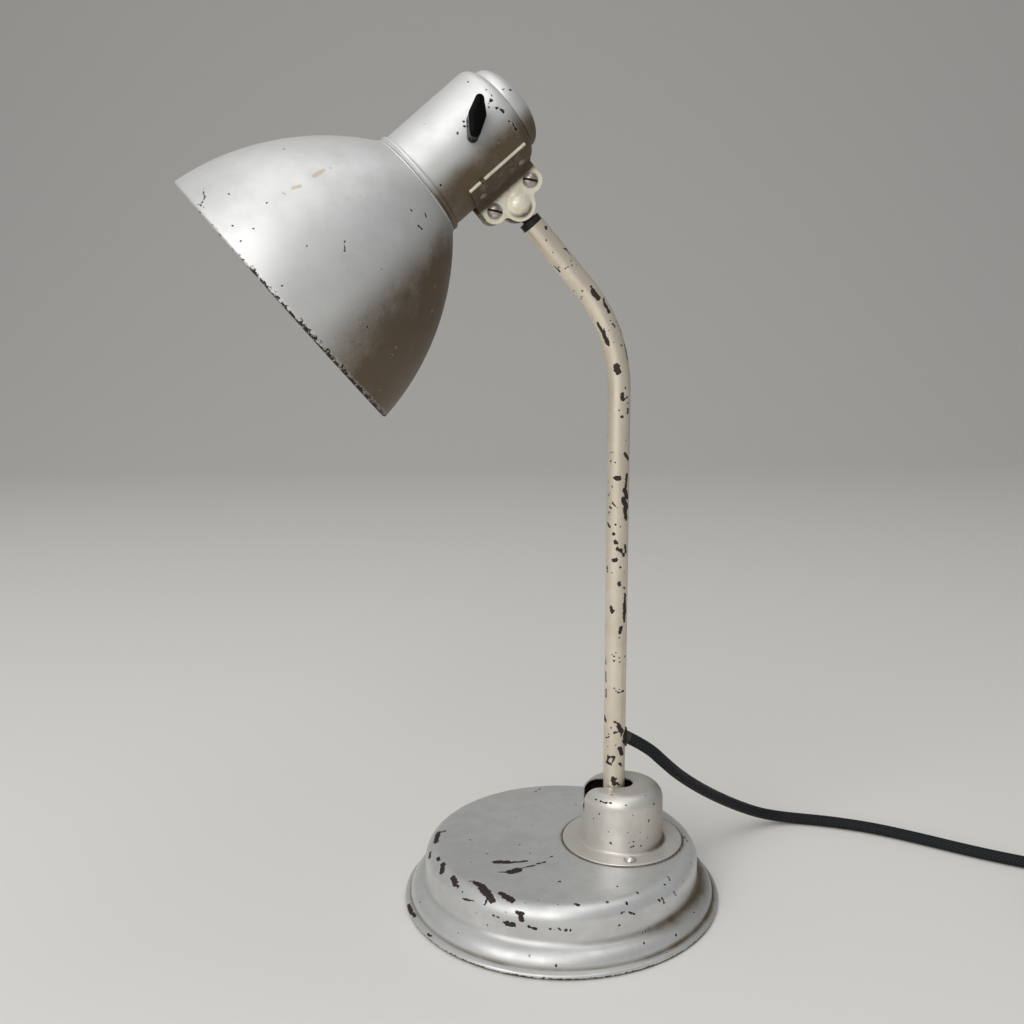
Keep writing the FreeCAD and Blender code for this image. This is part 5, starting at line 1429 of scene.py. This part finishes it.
armTube = makeArmTube(armPaint)
for piece, strokes, material, rim, dirtAndShade, place in (
        (footShell, "foot", shellPaint, footRim, footPaintedShade, world),
        (hubCover, "hub", hubPaint, hubInside, hubPaintedShade, hubFrame),
        (armTube, "arm", armPaint, None, armPaintedShade, armFrame),
        (shadeBell, "shade", shadePaint, shadeRim, shadePaintedShade, headFrame),
        (neckCover, "neck", shadePaint, None, neckDirtAndShade, headFrame),
        (endCap, "cap", shadePaint, None, capPaintedShade, headFrame)):
    thinStrokes = chips["scratch"] + chips["primer"] if piece == shadeBell else []
    addChips(piece, chips[strokes], rim, thinStrokes)
    dirtAndShadeValues = dirtAndShade(localPoints(piece, place))
    if place is headFrame:
        dirtAndShadeValues = dirtAndShadeValues * facesOut(piece, place)
    storeField(piece, "stainField", dirtAndShadeValues)
    paint(piece, material)


def plateGrimeAndShade(points):
    # the strap is brown with dirt and its bend darkened with painted shade, but for the painted highlight on
    # the edge where the strap ends
    x, y, z = points[:, 0], np.abs(points[:, 1]), points[:, 2]
    grimeAndShade = cast(-x, "strap") + cast(-x, "strapBend") + dirtAndShadeLevels["strapFoot"] * hump(x, 27.4, 0.8)
    away = np.hypot(x - head["ballOut"], z - head["ballAlong"])
    # painted shade: a dark ring round the bulge over the ball, and its lower side darkened
    grimeAndShade += dirtAndShadeLevels["bulgeRing"] * hump(away, 5.9, 1.0) * rise(x - 0.5 * z, -25, -14)
    grimeAndShade += cast(x - head["ballOut"], "bulgeSide") * rise(-away, -6.2, -5.0)
    # the strap's end edge is left bright as a painted highlight
    wearAndHighlight = rise(np.degrees(np.arctan2(y, x)), plate["strapEnd"] - 2.2, plate["strapEnd"] - 1.2)
    gap = np.abs(z - head["ballAlong"] + 9) < 1.4
    return grimeAndShade * (1 - wearAndHighlight * ~gap)


# the rear plate is darkened all over as painted shade
for piece, least in ((frontPlate, 0.0), (rearPlate, 0.6)):
    storeField(piece, "grimeField", np.maximum(plateGrimeAndShade(localPoints(piece, headFrame)), least))
    paint(piece, nickel)
paint(switchKey, bakelite)
paint(cordTube, braid)
print("paint and chips placed")

# Fasteners in their places
up = Vector((0, 0, 1))
seat = foot["height"] + hub["thick"]
hubPlaces = [((hub["middle"] + x, y, seat), up, 0) for x, y in hubSpots()]
hubScrews = setOut("hubScrews", domedHead("hubHead", hubScrew), hubPlaces, brightScrew)
headSpin = headFrame.to_3x3()
clampPlaces = []
for side, turned in zip((-1, 1), clampScrew["rolls"]):
    place = headFrame @ Vector((plate["screwOut"], -plate["gapHalf"] - plate["thick"],
                                head["ballAlong"] + side * plate["screwPitch"] / 2))
    clampPlaces.append((place, headSpin @ Vector((0, -1, 0)), math.radians(turned)))
clampScrews = setOut("clampScrews", slottedHead(), clampPlaces, clampMetal)
rivetPlaces = []
for side in (-1, 1):
    for shift in (-1, 1):
        angle = math.radians(plate["rivetAngle"]) * side
        way = Vector((math.cos(angle), math.sin(angle), 0))
        outwards = way * (neck["radius"] + plate["seatGap"] + plate["thick"])
        along = up * (head["ballAlong"] + shift * plate["rivetPitch"] / 2)
        rivetPlaces.append((headFrame @ (outwards + along), headSpin @ way, 0))
rivets = setOut("strapRivets", domedHead("rivetHead", rivet), rivetPlaces, rivetMetal)
print("fasteners set out")

# CAD nodes that stay as they are get their finish
finishes = {
    darkSteel: ["bottom_cover", "pivot_bracket", "base_bolt", "base_nut", "pivot_bolt", "pivot_nut",
                "arm_foot", "stem_nut", "clamp_nuts"],
    blackSteel: ["tube_ferrule", "ball_stem", "cord_eyelet"],
    castIron: ["base_weight"],
    woolFelt: ["felt_pad"],
    brass: ["friction_washers", "socket_sleeve", "centre_contact"],
    coreRubber: ["inner_flex", "head_flex"],
    bakelite: ["shade_ring", "lampholder_body", "switch_body", "plug_sleeve", "plug_body"],
    bulbMetal: ["bulb_cap"],
    frostedGlass: ["bulb_glass"],
    pinMetal: ["plug_pins"],
}
for material, names in finishes.items():
    for name in names:
        paint(nodes[name], material)

# Bodies: what each piece rides on, and the CAD node that it stands for
rides = [
    (footShell, "base", ["base_shell"], "shell_paint"),
    (hubCover, "base", ["hub_cover"], "shell_paint"),
    (hubScrews, "base", ["hub_screws"], "dark_steel"),
    (armTube, "arm", ["arm_tube"], "arm_paint"),
    (shadeBell, "head", ["shade"], "shell_paint"),
    (neckCover, "head", ["neck_cover"], "shell_paint"),
    (endCap, "head", ["end_cap"], "shell_paint"),
    (frontPlate, "head", ["front_plate"], "bracket_metal"),
    (rearPlate, "head", ["rear_plate"], "bracket_metal"),
    (clampScrews, "head", ["clamp_screws"], "dark_steel"),
    (rivets, "head", ["bracket_rivets"], "bracket_metal"),
    (switchKey, "key", ["switch_key"], "bakelite"),
]
for piece, body, stands, slotName in rides:
    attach(piece, body)
    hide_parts(*stands)
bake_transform(cordTube)
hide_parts("cord_drop", "cord_run", "cord_coil", "cord_tail")

# Studio, in metres: a pale floor that sweeps up behind, a large soft key light, one above and one behind.
# A lamp is its place, what it aims at, its size and its power.
studio = {"pale": (0.76, 0.73, 0.685), "sky": (0.90, 0.95, 1.0), "skyPower": 0.27, "front": -3, "turn": 1.6,
          "sweep": 1.8, "sweepSteps": 40, "wallTop": 5.0, "halfWidth": 8, "rough": 0.8,
          "lamps": {"key": ((-0.85, -1.5, 1.25), (-0.02, 0, 0.2), 1.7, 28.5),
                    "top": ((-0.1, -0.25, 2.1), (-0.05, 0, 0.15), 1.9, 15),
                    "rim": ((-1.1, 0.7, 1.3), (0, 0, 0.25), 1.2, 0.8)}}


def makeStudio():
    # the floor's outline from the front to the top of its wall, drawn out sideways
    line = [(studio["front"], 0), (0, 0)]
    line += [(studio["turn"] + studio["sweep"] * math.sin(a), studio["sweep"] * (1 - math.cos(a)))
             for a in np.radians(np.linspace(0, 90, studio["sweepSteps"]))]
    line.append((studio["turn"] + studio["sweep"], studio["wallTop"]))
    points = [(side * studio["halfWidth"], y, z) for y, z in line for side in (-1, 1)]
    faces = [(2 * i, 2 * i + 1, 2 * i + 3, 2 * i + 2) for i in range(len(line) - 1)]
    floorMesh = bpy.data.meshes.new("floor")
    floorMesh.from_pydata(points, [], faces)
    floorMesh.shade_smooth()
    floor = added("floor", floorMesh)
    material, shader = newMaterial("paleFloor")[:2]
    shader.inputs["Base Color"].default_value = (*studio["pale"], 1)
    shader.inputs["Roughness"].default_value = studio["rough"]
    paint(floor, material)
    sky = bpy.data.worlds.new("studio")
    sky.use_nodes = True
    glow = sky.node_tree.nodes["Background"].inputs
    glow[0].default_value = (*studio["sky"], 1)
    glow[1].default_value = studio["skyPower"]
    bpy.context.scene.world = sky
    for name, (place, aim, size, power) in studio["lamps"].items():
        data = bpy.data.lights.new(name, "AREA")
        data.size = size
        data.energy = power
        lamp = added(name, data)
        lamp.location = place
        lamp.rotation_euler = (Vector(aim) - Vector(place)).to_track_quat("-Z", "Y").to_euler()


makeStudio()
print("studio set")
